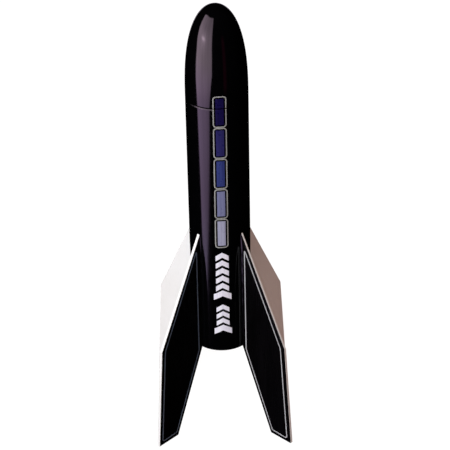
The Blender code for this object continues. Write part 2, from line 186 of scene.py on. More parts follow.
# ---------------------------------------------------------------- 2D outlines
def fillet(outline, radii, steps, closed=True):
    """Rounds the corners of a 2D outline; radii is one radius, or one for each point."""
    rounded, count = [], len(outline)
    for i, point in enumerate(outline):
        radius = radii[i] if isinstance(radii, (list, tuple)) else radii
        if radius <= 0 or (not closed and i in (0, count - 1)):
            rounded.append(tuple(point))
            continue
        corner = Vector(point)
        back = Vector(outline[i - 1]) - corner
        ahead = Vector(outline[(i + 1) % count]) - corner
        back_length, ahead_length = back.length, ahead.length
        back.normalize()
        ahead.normalize()
        half = math.acos(max(-1.0, min(1.0, back.dot(ahead)))) / 2
        if half > math.pi / 2 - 1e-3:           # the outline runs straight on
            rounded.append(tuple(point))
            continue
        reach = min(radius / math.tan(half), back_length * 0.49, ahead_length * 0.49)
        radius = reach * math.tan(half)
        centre = corner + (back + ahead).normalized() * (radius / math.sin(half))
        start = corner + back * reach - centre
        turn = start.angle_signed(corner + ahead * reach - centre)
        for k in range(steps + 1):
            angle = -turn * k / steps
            cos, sin = math.cos(angle), math.sin(angle)
            rounded.append((centre.x + start.x * cos - start.y * sin,
                            centre.y + start.x * sin + start.y * cos))
    return rounded


def left_of(direction):
    return Vector((-direction.y, direction.x))


def offset_line(points, distance, closed):
    """A line moved to the left of its run, with mitred corners."""
    points = [Vector(point) for point in points]
    ends = points[1:] + points[:1] if closed else points[1:]
    runs = [(end - start).normalized() for start, end in zip(points, ends)]
    moved = []
    for i, point in enumerate(points):
        before = left_of(runs[i - 1] if closed or i else runs[0])
        after = left_of(runs[min(i, len(runs) - 1)])
        middle = (before + after).normalized()
        moved.append(tuple(point + middle * (distance / middle.dot(before))))
    return moved


def set_in(corners, distances):
    """An anticlockwise outline with each side moved inwards by its own distance."""
    count, moved = len(corners), []
    for i in range(count):
        last, corner, following = (Vector(corners[(i + k) % count]) for k in (-1, 0, 1))
        before, after = (corner - last).normalized(), (following - corner).normalized()
        start = last + left_of(before) * distances[i - 1]
        gap = corner + left_of(after) * distances[i] - start
        cross = before.x * after.y - before.y * after.x
        moved.append(tuple(start + before * ((gap.x * after.y - gap.y * after.x) / cross)))
    return moved


def bezier(start, pull, end):
    """Seven points on a quadratic curve."""
    start, pull, end = Vector(start), Vector(pull), Vector(end)
    points = []
    for j in range(7):
        t = j / 6
        points.append(tuple(start * (1 - t) ** 2 + pull * 2 * t * (1 - t) + end * t * t))
    return points


# ---------------------------------------------------------------- shapes
def lathe(profile, segments, closed=True, axis_y=0.0):
    """Turns a (radius, height) outline about the upright line through (0, axis_y)."""
    shape = bmesh.new()
    rings = []
    for radius, z in profile:
        if radius < 1e-7:
            rings.append([shape.verts.new((0.0, axis_y, z))])
            continue
        angles = [2 * math.pi * k / segments for k in range(segments)]
        rings.append([shape.verts.new((radius * math.cos(angle),
                                       axis_y + radius * math.sin(angle), z))
                      for angle in angles])
    pairs = list(zip(rings, rings[1:]))
    if closed:
        pairs.append((rings[-1], rings[0]))
    for first, second in pairs:
        for k in range(segments):
            j = (k + 1) % segments
            if len(first) == 1:
                shape.faces.new((first[0], second[k], second[j]))
            elif len(second) == 1:
                shape.faces.new((first[k], second[0], first[j]))
            else:
                shape.faces.new((first[k], second[k], second[j], first[j]))
    return shape


def pipe(name, node, outer, inner, rounding, steps, segments, axis_y=0.0):
    """A pipe with rounded rims, as high as the frame's node."""
    low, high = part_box(node)
    profile = [(outer, high.z), (outer, low.z), (inner, low.z), (inner, high.z)]
    return firm(solid(name, lathe(fillet(profile, rounding, steps), segments, axis_y=axis_y)))


def loft(sections, cyclic=False):
    """Bridges closed sections of equal count; the two ends are capped unless cyclic."""
    shape = bmesh.new()
    rings = [[shape.verts.new(point) for point in section] for section in sections]
    pairs = list(zip(rings, rings[1:]))
    if cyclic:
        pairs.append((rings[-1], rings[0]))
    for first, second in pairs:
        count = len(first)
        for k in range(count):
            j = (k + 1) % count
            shape.faces.new((first[k], first[j], second[j], second[k]))
    if not cyclic:
        shape.faces.new(list(reversed(rings[0])))
        shape.faces.new(rings[-1])
    return shape


def wire(points, radius, sides, cyclic=False):
    """A round wire swept along points with a rotation-minimising frame."""
    points = [Vector(point) for point in points]
    count = len(points)
    tangents = []
    for i in range(count):
        before = points[i - 1] if cyclic or i > 0 else points[i]
        after = points[(i + 1) % count] if cyclic or i < count - 1 else points[i]
        tangents.append((after - before).normalized())
    first = tangents[0]
    guide = Vector((0, 0, 1)) if abs(first.z) < 0.9 else Vector((1, 0, 0))
    normals = [(guide - first * guide.dot(first)).normalized()]
    for tangent in tangents[1:]:
        normal = normals[-1] - tangent * normals[-1].dot(tangent)
        normals.append(normal.normalized())
    drift = 0.0                                 # twist left over at the seam of a loop
    if cyclic:
        last = (normals[-1] - first * normals[-1].dot(first)).normalized()
        drift = math.atan2(last.dot(first.cross(normals[0])), last.dot(normals[0]))
    sections = []
    for i in range(count):
        side = tangents[i].cross(normals[i])
        angles = [2 * math.pi * k / sides - drift * i / count for k in range(sides)]
        sections.append([points[i] + (normals[i] * math.cos(angle)
                                      + side * math.sin(angle)) * radius
                         for angle in angles])
    return loft(sections, cyclic)


def smooth_path(points, per):
    """Catmull-Rom through points, with per steps for each span."""
    points = [Vector(point) for point in points]
    last = len(points) - 1
    path = []
    for i in range(last):
        before, start = points[max(i - 1, 0)], points[i]
        end, after = points[i + 1], points[min(i + 2, last)]
        for k in range(per):
            t = k / per
            path.append(0.5 * ((2 * start) + (end - before) * t
                               + (2 * before - 5 * start + 4 * end - after) * t * t
                               + (3 * start - before - 3 * end + after) * t ** 3))
    path.append(points[-1])
    return path


def upright_torus(z, major, minor, across):
    """A torus centred on the rocket's axis, in the plane of Z and the direction across."""
    centre, across, upwards = Vector((0, 0, z)), Vector(across), Vector((0, 0, 1))
    angles = [2 * math.pi * k / 48 for k in range(48)]
    points = [centre + (across * math.cos(angle) + upwards * math.sin(angle)) * major
              for angle in angles]
    return wire(points, minor, 16, cyclic=True)


def knot(radius, centre, broad, fine):
    """A lumpy ball; broad and fine are the wave vectors of its relief, per millimetre."""
    shape = bmesh.new()
    bmesh.ops.create_icosphere(shape, subdivisions=4, radius=radius)
    for vert in shape.verts:
        place = vert.co / MM
        vert.co *= (1.0 + 0.10 * math.sin(place.dot(Vector(broad)))
                    + 0.05 * math.sin(place.dot(Vector(fine))))
    bmesh.ops.translate(shape, vec=centre, verts=shape.verts)
    return shape


def film(name, sheets, mapper, low, high):
    """Thin film on a surface, between the heights low and high above it.

    sheets holds (2D vertices, faces); mapper(across, up, height) gives the place in space.
    """
    shape = bmesh.new()
    for verts, faces in sheets:
        top = [shape.verts.new(mapper(across, z, high)) for across, z in verts]
        bottom = [shape.verts.new(mapper(across, z, low)) for across, z in verts]
        edges = {}
        for face in faces:
            shape.faces.new([top[i] for i in face])
            shape.faces.new([bottom[i] for i in reversed(face)])
            edges.update(dict.fromkeys(zip(face, face[1:] + face[:1])))
        for i, j in edges:
            if (j, i) not in edges:
                shape.faces.new((top[i], bottom[i], bottom[j], top[j]))
    return solid(name, shape, 50.0)


def band(outer, inner):
    """The flat sheet between two outlines of equal count."""
    count = len(outer)
    return outer + inner, [[i, (i + 1) % count, count + (i + 1) % count, count + i]
                           for i in range(count)]


# ---------------------------------------------------------------- node trees
def srgb(red, green, blue):
    def linear(value):
        value /= 255.0
        return value / 12.92 if value <= 0.04045 else ((value + 0.055) / 1.055) ** 2.4
    return (linear(red), linear(green), linear(blue), 1.0)


def darker(colour, share):
    return tuple(value * share for value in colour[:3]) + (1,)


class Graph:
    """Short ways to build a node tree; inputs may be values or sockets."""

    def __init__(self, tree):
        self.tree = tree

    def node(self, kind, inputs=None, **settings):
        node = self.tree.nodes.new(kind)
        for key, value in settings.items():
            setattr(node, key, value)
        for key, value in (inputs or {}).items():
            if isinstance(value, bpy.types.NodeSocket):
                self.tree.links.new(value, node.inputs[key])
            else:
                node.inputs[key].default_value = value
        return node

    def calc(self, operation, *values):
        inputs = dict(enumerate(values))
        return self.node("ShaderNodeMath", inputs, operation=operation).outputs[0]

    def product(self, first, *factors):
        for factor in factors:
            first = self.calc("MULTIPLY", first, factor)
        return first

    def remap(self, value, over, to=(0.0, 1.0), smooth=False):
        node = self.node("ShaderNodeMapRange",
                         {"Value": value, "From Min": over[0], "From Max": over[1],
                          "To Min": to[0], "To Max": to[1]})
        if smooth:
            node.interpolation_type = "SMOOTHSTEP"
        return node.outputs["Result"]

    def step(self, value, start, end):
        return self.remap(value, (start, end), smooth=True)

    def ramp(self, value, stops):
        """stops holds (position, colour)."""
        node = self.node("ShaderNodeValToRGB", {"Fac": value})
        elements = node.color_ramp.elements
        while len(elements) < len(stops):
            elements.new(0.5)
        for element, (position, colour) in zip(elements, stops):
            element.position = position
            element.color = colour
        return node.outputs["Color"]

    def split(self, vector):
        node = self.node("ShaderNodeSeparateXYZ", {"Vector": vector})
        return [node.outputs[axis] for axis in "XYZ"]

    def azimuth(self, x, y):
        """Degrees from the front (-Y) towards the right (+X)."""
        return self.product(self.calc("ARCTAN2", x, self.product(y, -1.0)), DEGREES)


class Look(Graph):
    """A Principled material and short ways to drive it."""

    def __init__(self, name, base, rough, metal=0.0, spec=0.5):
        self.material = bpy.data.materials.new(name)
        self.material.use_nodes = True
        super().__init__(self.material.node_tree)
        self.inputs = self.tree.nodes["Principled BSDF"].inputs
        for key, value in (("Base Color", base), ("Roughness", rough), ("Metallic", metal),
                           ("Specular IOR Level", spec), ("IOR", 1.5)):
            self.inputs[key].default_value = value
        self.material.diffuse_color = base
        self.place = self.node("ShaderNodeTexCoord").outputs["Object"]
        self.normal = None

    def where(self, stretch=(1, 1, 1), rotate=(0, 0, 0)):
        return self.node("ShaderNodeMapping", {"Vector": self.place, "Scale": stretch,
                                               "Rotation": rotate}).outputs["Vector"]

    def noise(self, scale, detail=3.0, rough=0.5, distortion=0.0, **mapping):
        return self.node("ShaderNodeTexNoise",
                         {"Vector": self.where(**mapping), "Scale": scale, "Detail": detail,
                          "Roughness": rough, "Distortion": distortion}).outputs["Fac"]

    def turns(self, x, y):
        return self.calc("DIVIDE", self.calc("ARCTAN2", y, x), 2 * math.pi)

    def helix(self, pitch, width):
        """0 on a line that climbs by pitch each turn, 1 away from it; width is in turns."""
        x, y, z = self.split(self.place)
        climb = self.calc("ADD", self.calc("DIVIDE", z, pitch), self.turns(x, y))
        offset = self.calc("SUBTRACT", self.calc("FRACT", climb), 0.5)
        return self.step(self.calc("ABSOLUTE", offset), 0.0, width)

    def mix(self, factor, first, second):
        inputs = {0: factor, 6: first, 7: second}       # the factor and the two colours
        return self.node("ShaderNodeMix", inputs, data_type="RGBA").outputs[2]

    def shade(self, pattern, over, low, high):
        """A colour that goes from low to high as pattern crosses the span over."""
        return self.mix(self.remap(pattern, over), low, high)

    def drive(self, key, socket):
        self.tree.links.new(socket, self.inputs[key])

    def vary_colour(self, pattern, over, low, high):
        self.drive("Base Color", self.shade(pattern, over, low, high))

    def vary_rough(self, pattern, over, to):
        self.drive("Roughness", self.remap(pattern, over, to))

    def bump(self, height, depth):
        """Adds relief of the given depth in metres; several calls chain."""
        inputs = {"Height": height, "Strength": 1.0, "Distance": depth}
        if self.normal is not None:
            inputs["Normal"] = self.normal
        self.normal = self.node("ShaderNodeBump", inputs).outputs["Normal"]
        self.drive("Normal", self.normal)


# ---------------------------------------------------------------- materials
GLOSS = (0.0008, 0.0007, 0.0010, 1)
GLOSS_ROUGH = 0.07
WIND = 0.062                                    # climb of the body tube's winding per turn


def gloss_black(name, seams=False):
    look = Look(name, GLOSS, GLOSS_ROUGH)
    look.vary_colour(look.noise(scale=120, detail=4, rough=0.6), over=(0.35, 0.75),
                     low=(0.0006, 0.0006, 0.0008, 1), high=(0.0011, 0.0010, 0.0013, 1))
    look.vary_rough(look.noise(scale=420, rough=0.6), over=(0.3, 0.75), to=(0.055, 0.10))
    look.bump(look.noise(scale=700, detail=2, rough=0.45), depth=0.0000012)
    if seams:
        look.bump(look.helix(WIND, width=0.006), depth=0.0000024)
    return look.material


def rim_with_painted_highlight(name):
    """The tube's paint at its mouth, with a painted highlight: lighter grey-mauve and rougher on
    the front-left, standing in for the rim's reflection of the soft box.
    """
    look = Look(name, GLOSS, GLOSS_ROUGH)
    x, y, z = look.split(look.place)
    patch = look.noise(scale=60, detail=4, rough=0.6)
    near = look.product(look.step(z, TOP - 1.05 * MM, TOP - 0.75 * MM),
                        look.step(z, TOP - 0.15 * MM, TOP - 0.3 * MM))
    turn = look.azimuth(x, y)
    sector = look.product(look.step(turn, -60.0, -36.0), look.step(turn, -4.0, -9.0))
    # painted highlight: a lighter grey-mauve, rougher patch on the rim's front-left
    painted_highlight = look.product(near, sector, look.remap(patch, over=(0.3, 0.6), to=(0.55, 1.0)))
    look.drive("Base Color", look.mix(painted_highlight, GLOSS, (0.070, 0.060, 0.068, 1)))
    extra_rough = look.product(painted_highlight, 0.20)
    look.drive("Roughness", look.calc("ADD", GLOSS_ROUGH, extra_rough))
    look.bump(look.noise(scale=700, detail=2, rough=0.45), depth=0.0000012)
    return look.material


def satin_black(name):
    """The brushed-on black of the fins' faces, with faint upright strokes."""
    look = Look(name, (0.0008, 0.0008, 0.0009, 1), rough=0.25, spec=0.045)
    strokes = look.noise(scale=160, detail=4, rough=0.6, stretch=(1, 1, 0.12))
    look.vary_colour(strokes, over=(0.3, 0.7), low=(0.0006, 0.0006, 0.0007, 1),
                     high=(0.0010, 0.0010, 0.0011, 1))
    look.vary_rough(strokes, over=(0.3, 0.7), to=(0.23, 0.31))
    look.bump(strokes, depth=0.000004)
    look.bump(look.noise(scale=900, detail=2), depth=0.0000015)
    return look.material


def white_paint(name, lean):
    """White enamel on sealed wood sheet; lean (radians) tilts the trace of the grain."""
    look = Look(name, srgb(241, 240, 238), rough=0.32)
    look.inputs["Coat Weight"].default_value = 0.25
    look.inputs["Coat Roughness"].default_value = 0.2
    grain = look.noise(scale=90, detail=5, rough=0.6, stretch=(14, 14, 1.2),
                       rotate=(0, lean, 0))
    look.vary_colour(look.noise(scale=40), over=(0.3, 0.7), low=srgb(243, 242, 240),
                     high=srgb(237, 235, 231))
    look.vary_rough(grain, over=(0.3, 0.7), to=(0.26, 0.40))
    look.bump(grain, depth=0.00001)
    look.bump(look.noise(scale=900, detail=2), depth=0.000002)
    return look.material


def film_finish(name, low, high, rough=0.3):
    """Printed film or paper with fine upright streaks between two sRGB colours."""
    low, high = srgb(*low), srgb(*high)
    look = Look(name, low, rough)
    streaks = look.noise(scale=260, detail=2, stretch=(3, 3, 0.12))
    look.vary_colour(streaks, over=(0.35, 0.65), low=low, high=high)
    look.vary_rough(look.noise(scale=500), over=(0.3, 0.7), to=(rough - 0.05, rough + 0.08))
    look.bump(look.noise(scale=1200, detail=2), depth=0.0000015)
    return look.material


def kraft(name, light, dark, pitch=0.018, rough=0.78):
    """Spiral-wound kraft paper: fibres, and the butt line of each turn."""
    light, dark = srgb(*light), srgb(*dark)
    look = Look(name, light, rough)
    fibres = look.noise(scale=900, detail=6, rough=0.7, stretch=(1, 1, 0.25),
                        rotate=(0.3, 0.5, 0))
    blotch = look.noise(scale=140, detail=4, rough=0.6)
    line = look.helix(pitch, width=0.02)
    colour = look.shade(fibres, over=(0.35, 0.7), low=dark, high=light)
    colour = look.mix(look.remap(blotch, over=(0.3, 0.8), to=(0.0, 0.35)), colour, dark)
    colour = look.mix(look.remap(line, over=(0.0, 1.0), to=(0.55, 0.0)), colour, dark)
    look.drive("Base Color", colour)
    look.vary_rough(fibres, over=(0.2, 0.8), to=(rough - 0.1, rough + 0.1))
    look.bump(line, depth=0.00006)
    look.bump(fibres, depth=0.00002)
    return look.material


def ring_card(name, face, edge):
    """Die-cut card: soft fibres on the face, darker scorched rims at the cut edges."""
    look = Look(name, face, rough=0.85)
    fibres = look.noise(scale=700, detail=6, rough=0.7)
    colour = look.shade(fibres, over=(0.35, 0.7), low=face, high=darker(face, 0.72))
    x, y, _ = look.split(look.place)
    radius = look.calc("SQRT", look.calc("ADD", look.product(x, x), look.product(y, y)))
    scorch = 0.7 * MM                           # width of a scorched rim
    rim = look.calc("MAXIMUM", look.step(radius, RING_BORE_R + scorch, RING_BORE_R),
                    look.step(radius, RING_R - scorch, RING_R))
    strength = look.product(rim, 0.75)
    look.drive("Base Color", look.mix(strength, colour, edge))
    look.bump(fibres, depth=0.00003)
    return look.material


def mineral(name, base, grit, rough=0.92):
    look = Look(name, base, rough)
    grain = look.noise(scale=900, detail=6, rough=0.75)
    cells = look.node("ShaderNodeTexVoronoi", {"Vector": look.where(), "Scale": 1440})
    look.vary_colour(grain, over=(0.35, 0.7), low=base, high=grit)
    look.bump(grain, depth=0.00008)
    look.bump(cells.outputs["Distance"], depth=0.00003)
    return look.material


def metal(name, base, rough, brush=(1, 1, 1), tint=None):
    look = Look(name, base, rough, metal=1.0)
    brushed = look.noise(scale=1400, detail=4, rough=0.6, stretch=brush)
    look.vary_colour(brushed, over=(0.3, 0.7), low=base, high=tint or darker(base, 0.8))
    look.vary_rough(brushed, over=(0.3, 0.7), to=(rough - 0.08, rough + 0.12))
    look.bump(brushed, depth=0.000004)
    return look.material


def thread(name, base, pitch):
    """Twisted or braided yarn: diagonal strands and loose fibres."""
    look = Look(name, base, rough=0.8)
    strands = look.node("ShaderNodeTexWave",
                        {"Vector": look.where(rotate=(0.6, 0.6, 0.4)), "Scale": 1 / pitch,
                         "Distortion": 1.5, "Detail": 2.0, "Detail Scale": 3.0},
                        wave_type="BANDS").outputs["Fac"]
    # darker between the strands: painted shade in the grooves
    look.vary_colour(strands, over=(0.1, 0.7), low=darker(base, 0.62), high=base)
    look.bump(strands, depth=0.00012)
    look.bump(look.noise(scale=2600, detail=4, rough=0.7), depth=0.00002)
    return look.material


def canopy_sheet(name, base, fold_shade, panel, panel_fold_shade):
    """Thin two-colour canopy sheet: satin plastic with long soft creases, darkened along them
    with painted shade.
    """
    look = Look(name, base, rough=0.36)
    crease = look.noise(scale=150, detail=4, rough=0.6, stretch=(1, 1, 0.45), distortion=0.5)
    ridges = look.calc("ABSOLUTE", look.calc("SUBTRACT", crease, 0.5))
    # painted shade: darker colour along the crease valleys
    crease_shade = look.remap(ridges, over=(0.0, 0.07), to=(0.6, 0.0))
    x, y, z = look.split(look.place)
    # two panels of the second colour per turn, slanting up the roll
    panel_count, climb, shift = 2.0, 0.085, 0.15
    slant = look.calc("ADD", look.product(look.turns(x, y), panel_count),
                      look.calc("DIVIDE", z, climb))
    phase = look.calc("FRACT", look.calc("ADD", slant, shift))
    on_panel = look.product(look.remap(phase, over=(0.0, 0.006)),
                            look.remap(phase, over=(0.34, 0.346), to=(1.0, 0.0)))
    look.drive("Base Color", look.mix(on_panel, look.mix(crease_shade, base, fold_shade),
                                      look.mix(crease_shade, panel, panel_fold_shade)))
    look.vary_rough(crease, over=(0.3, 0.7), to=(0.26, 0.44))
    look.bump(ridges, depth=0.00022)
    look.bump(look.noise(scale=900), depth=0.00001)
    return look.material


def tissue(name, base, shade):
    base, shade = srgb(*base), srgb(*shade)
    look = Look(name, base, rough=0.95)
    fibres = look.noise(scale=1500, detail=5, rough=0.7)
    creases = look.noise(scale=180, detail=5, rough=0.6, distortion=0.8)
    look.vary_colour(creases, over=(0.3, 0.7), low=shade, high=base)
    look.bump(creases, depth=0.0004)
    look.bump(fibres, depth=0.00003)
    return look.material


BLACK = gloss_black("tube_gloss_black", seams=True)
NOSE_BLACK = gloss_black("nose_gloss_black")
FIN_BLACK = gloss_black("fin_gloss_black")
LUG_BLACK = gloss_black("lug_gloss_black")
PANEL_BLACK = satin_black("fin_satin_black")
RIM_HIGHLIGHT_PAINT = rim_with_painted_highlight("tube_rim_painted_highlight")
LINER = kraft("tube_liner", (196, 168, 128), (150, 118, 82), pitch=WIND)
KRAFT = kraft("mount_kraft", (190, 158, 116), (138, 104, 70))
CASING = kraft("casing_kraft", (206, 178, 134), (168, 132, 90), pitch=0.026, rough=0.6)
RING_CARD = ring_card("ring_card", face=srgb(188, 176, 152), edge=srgb(60, 44, 32))
BAND = film_finish("band_paper", (222, 190, 84), (205, 170, 66), rough=0.5)
TAB = tissue("tab_paper", (226, 222, 210), (196, 190, 174))
CLAY = mineral("nozzle_clay", srgb(176, 168, 156), srgb(132, 124, 112))
CAP_CLAY = mineral("cap_clay", srgb(196, 186, 168), srgb(150, 140, 122))
POWDER = mineral("propellant_black", (0.018, 0.018, 0.019, 1), (0.05, 0.05, 0.05, 1), rough=0.95)
DELAY = mineral("delay_grey", (0.06, 0.06, 0.058, 1), (0.12, 0.115, 0.11, 1), rough=0.95)
STEEL = metal("spring_steel", (0.50, 0.51, 0.53, 1), rough=0.30, brush=(0.4, 8, 0.08))
WIRE = metal("plated_wire", (0.70, 0.71, 0.73, 1), rough=0.16, brush=(1, 1, 0.2))
BRASS = metal("swivel_brass", (0.83, 0.62, 0.26, 1), rough=0.2, tint=(0.66, 0.45, 0.16, 1))
ELASTIC = thread("elastic_braid", srgb(232, 229, 220), pitch=0.0011)
LINE = thread("line_yarn", srgb(232, 232, 228), pitch=0.0006)
# the fold colours are painted shade for the creases
CANOPY = canopy_sheet("canopy_orange", base=srgb(236, 98, 26), fold_shade=srgb(204, 72, 16),
                      panel=srgb(240, 238, 232), panel_fold_shade=srgb(216, 213, 206))
TISSUE = tissue("wadding_tissue", (214, 222, 206), (176, 190, 170))
MARK = film_finish("marking_white", (240, 238, 246), (226, 223, 236))
OUTLINE = film_finish("outline_silver", (160, 160, 156), (137, 136, 133))
# one silver pinstripe in two copies: the left fins' copy is darker and bluer, painted shade
STRIPES = {
    "right": film_finish("stripe_silver_right", (180, 180, 182), (160, 160, 163)),
    "left": film_finish("stripe_silver_left_painted_shade", (100, 116, 134), (87, 101, 118)),
}
PANES = [film_finish(*pane) for pane in (
    ("pane_1", (12, 8, 50), (19, 12, 64)),
    ("pane_2", (33, 30, 80), (41, 39, 93)),
    ("pane_3", (40, 49, 105), (50, 60, 117)),
    ("pane_4", (104, 107, 141), (121, 123, 158)),
    ("pane_5", (145, 144, 167), (161, 161, 184)),
)]

# ---------------------------------------------------------------- body tube
tube_profile = [(TUBE_R, TOP), (TUBE_R, TOP - RIM_ZONE), (TUBE_R, AFT),
                (TUBE_INNER_R, AFT), (TUBE_INNER_R, TOP)]
tube_rounding = [TUBE_RIM, *mm(0, 0.2, 0.1, 0.1)]
tube = solid("tube_shell", lathe(fillet(tube_profile, tube_rounding, 6), 256))
put(firm(tube), "airframe", "tube_paint", BLACK, LINER, RIM_HIGHLIGHT_PAINT, replaces="body_tube")


def tube_zone(centre, normal):
    """Material index: 0 outside, 1 liner, 2 rim with the painted highlight."""
    if faces_inwards(centre, normal):
        return 1
    return 2 if centre.z > TOP - RIM_ZONE else 0


paint_faces(tube, tube_zone)


# ---------------------------------------------------------------- nose
def nose_curve(count, steps, radius, base, height):
    """The first count of steps points on the nose's superellipse, from the tip down."""
    points = []
    for i in range(count):
        angle = math.pi / 2 * (1 - i / steps)
        share = max(0.0, math.cos(angle)) ** (2 / NOSE_POWER_R) if i else 0.0
        points.append((radius * share, base + height * math.sin(angle) ** (2 / NOSE_POWER_Z)))
    return points


NOSE_EDGE = TOP + JOINT                         # lower end of the exposed cone
cone_outer = [point for point in nose_curve(73, 72, TUBE_R, TOP, NOSE_H)
              if point[1] > NOSE_EDGE + NOSE_RIM + 0.1 * MM]
cone_rim = []
for k in range(8):
    angle = math.pi / 2 * k / 7
    cone_rim.append((TUBE_R - NOSE_RIM * (1 - math.cos(angle)),
                     NOSE_EDGE + NOSE_RIM * (1 - math.sin(angle))))
# the shoulder that slides into the tube: (radius, height), mm
shoulder = (points_mm([(19.95, 0), (19.9, -0.1)], NOSE_EDGE)
            + points_mm([(19.9, -6.0), (19.72, -6.5), (19.72, -8.0), (19.9, -8.5)], TOP)
            + points_mm([(19.9, 1.4), (19.75, 0.6), (19.3, 0), (18.5, 0), (18.4, 0.2)],
                        nose_low.z)
            + points_mm([(18.4, -1.6)], TOP))
cone_inner = nose_curve(24, 24, TUBE_R - 1.7 * MM, TOP + 1.8 * MM, NOSE_H - 3.6 * MM)
nose_profile = cone_outer + cone_rim + shoulder + list(reversed(cone_inner))
nose = solid("nose_shell", lathe(nose_profile, 256, closed=False))
put(firm(nose), "nose", "nose_paint", NOSE_BLACK, replaces="nose_cone")

# plug that closes the shoulder, with its moulded eyelet: (radius, height), mm
low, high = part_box("nose_base")
plug_profile = fillet(
    points_mm([(0, 0), (17.9, 0), (18.1, -0.4)], high.z)
    + points_mm([(18.1, 5.0), (14.0, 5.0), (13.4, 5.7), (5.0, 5.7), (3.6, 5.0), (0, 5.0)], low.z),
    mm(0, 0.1, 0.1, 0.3, 0.3, 0.3, 0.3, 0.4, 0), 3, closed=False)
eyelet = upright_torus(low.z + 3.0 * MM, 2.4 * MM, 0.6 * MM, across=(1, 0, 0))
plug = join("nose_plug", [lathe(plug_profile, 128, closed=False), eyelet])
put(firm(plug), "nose", "nose_paint", NOSE_BLACK, replaces="nose_base")

# ---------------------------------------------------------------- fins
# the root runs 0.5 mm into the tube's wall, so that the rounded edges close against it
FIN_ROOT = TUBE_R - 0.5 * MM
# (distance from the axis, height), anticlockwise from the lower end of the root
FIN_CORNERS = [(FIN_ROOT, AFT + 1.5 * MM),
               *points_mm([(47.4, 0.0), (66.2, 0.0), (60.15, 77.5)]),
               (FIN_ROOT, 155.57 * MM)]
FIN_CORNER_RADII = mm(0, 0.5, 0.5, 2.5, 0)
# rounding of the trailing edge, foot, outer edge, leading edge and root
FIN_ROUND = mm(0.3, 0.3, 0.6, 0.85, 0.3)
FIN_ROUND_STEPS = 6
# pinstripe's middle line, clockwise: (distance from the axis, height), mm
STRIPE_LINE = [(24.1, 143.0), (56.7, 76.9), (62.7, 4.1), (61.4, 2.9), (48.9, 3.3), (24.4, 61.4)]
STRIPE_RADII = mm(0.35, 6.0, 0.8, 0.8, 1.2, 3.0)
STRIPE_HALF = 0.85 * MM / 2
# place, direction in degrees from +X towards +Y, and how far round the edge the black reaches
FINS = [("front_right", -45.0, 70.0), ("back_right", 45.0, 40.0),
        ("back_left", 135.0, 30.0), ("front_left", 225.0, 29.0)]

stripe_middle = fillet(points_mm(STRIPE_LINE), STRIPE_RADII, 6)
stripe_sheet = band(offset_line(stripe_middle, STRIPE_HALF, closed=True),
                    offset_line(stripe_middle, -STRIPE_HALF, closed=True))


def fin_plate(name, place):
    """A flat sheet with edges sanded round: outlines set in and sunk along a quarter circle."""
    shape = bmesh.new()
    depth = max(FIN_ROUND)
    rings = []
    for sign in (1.0, -1.0):
        for k in range(FIN_ROUND_STEPS + 1):
            step = k if sign > 0 else FIN_ROUND_STEPS - k
            angle = math.pi / 2 * step / FIN_ROUND_STEPS
            inset = 1 - math.sin(angle)
            across = sign * (FIN_HALF - depth * (1 - math.cos(angle)))
            corners = set_in(FIN_CORNERS, [edge * inset for edge in FIN_ROUND])
            radii = []
            for i, radius in enumerate(FIN_CORNER_RADII):
                less = inset * min(FIN_ROUND[i - 1], FIN_ROUND[i])
                radii.append(0 if radius == 0 else max(radius - less, 0.03 * MM))
            rings.append([shape.verts.new(place(reach, z, across))
                          for reach, z in fillet(corners, radii, 6)])
    count = len(rings[0])
    shape.faces.new(rings[0])
    shape.faces.new(list(reversed(rings[-1])))
    for first, second in zip(rings, rings[1:]):
        for i in range(count):
            j = (i + 1) % count
            shape.faces.new((first[j], first[i], second[i], second[j]))
    return solid(name, shape)


def fin_bead(name, place, way, azimuth):
    """Glue fillet along one side of the root, a little uneven."""
    start, end = AFT + 0.5 * MM, 153.6 * MM
    sections = []
    for k in range(41):
        ease = min(1.0, k / 3.0, (40 - k) / 4.0)
        uneven = 1.0 + 0.05 * math.sin(k * 1.7) + 0.04 * math.sin(k * 0.61 + azimuth)
        size = (0.25 + 0.95 * ease) * MM * uneven
        reach = FIN_HALF + size
        base = math.sqrt(TUBE_R * TUBE_R - reach * reach)
        hidden = FIN_HALF - 0.1 * MM
        section = [(hidden, math.sqrt(TUBE_R * TUBE_R - FIN_HALF * FIN_HALF) - 0.1 * MM),
                   (hidden, TUBE_R + size),
                   *bezier((FIN_HALF, TUBE_R + size),
                           (FIN_HALF + 0.12 * size, TUBE_R - 0.02 * MM), (reach, base)),
                   (reach - 0.05 * MM, base - 0.1 * MM)]
        z = start + (end - start) * k / 40
        sections.append([place(radius, z, way * across) for across, radius in section])
    put(solid(name, loft(sections), 60.0), "airframe", "tube_paint", FIN_BLACK)


def build_fin(where, azimuth, paint_limit):
    """A fin with its pinstripe and its two glue fillets."""
    angle = math.radians(azimuth)
    outwards = Vector((math.cos(angle), math.sin(angle), 0.0))
    side = outwards.cross(Vector((0, 0, 1)))
    end, hand = where.split("_")
    facing = (-1.0 if side.y > 0 else 1.0) * (-1.0 if end == "back" else 1.0)
    black_side = side * facing                  # looks to the front, or to the back
    limit = math.cos(math.radians(paint_limit))

    def place(radius, z, across):
        return outwards * radius + Vector((0, 0, z)) + side * across

    def on_fin(radius, z, height):
        return outwards * radius + Vector((0, 0, z)) + black_side * (FIN_HALF + height)

    panel = fin_plate("fin_panel_" + where, place)
    white = white_paint("fin_white_" + where, 0.47 if outwards.x > 0 else -0.47)
    put(firm(panel), "airframe", "fin_paint", white, PANEL_BLACK, replaces="fin_" + where)
    paint_faces(panel, lambda centre, normal: int(normal.dot(black_side) > limit))
    stripe = film("pinstripe_" + where, [stripe_sheet], on_fin, 0.004 * MM, 0.07 * MM)
    put(stripe, "airframe", "stripe_film", STRIPES[hand], replaces="stripe_" + where)
    for tag, way in (("a", 1.0), ("b", -1.0)):
        fin_bead("fin_bead_%s_%s" % (where, tag), place, way, azimuth)


for fin in FINS:
    build_fin(*fin)

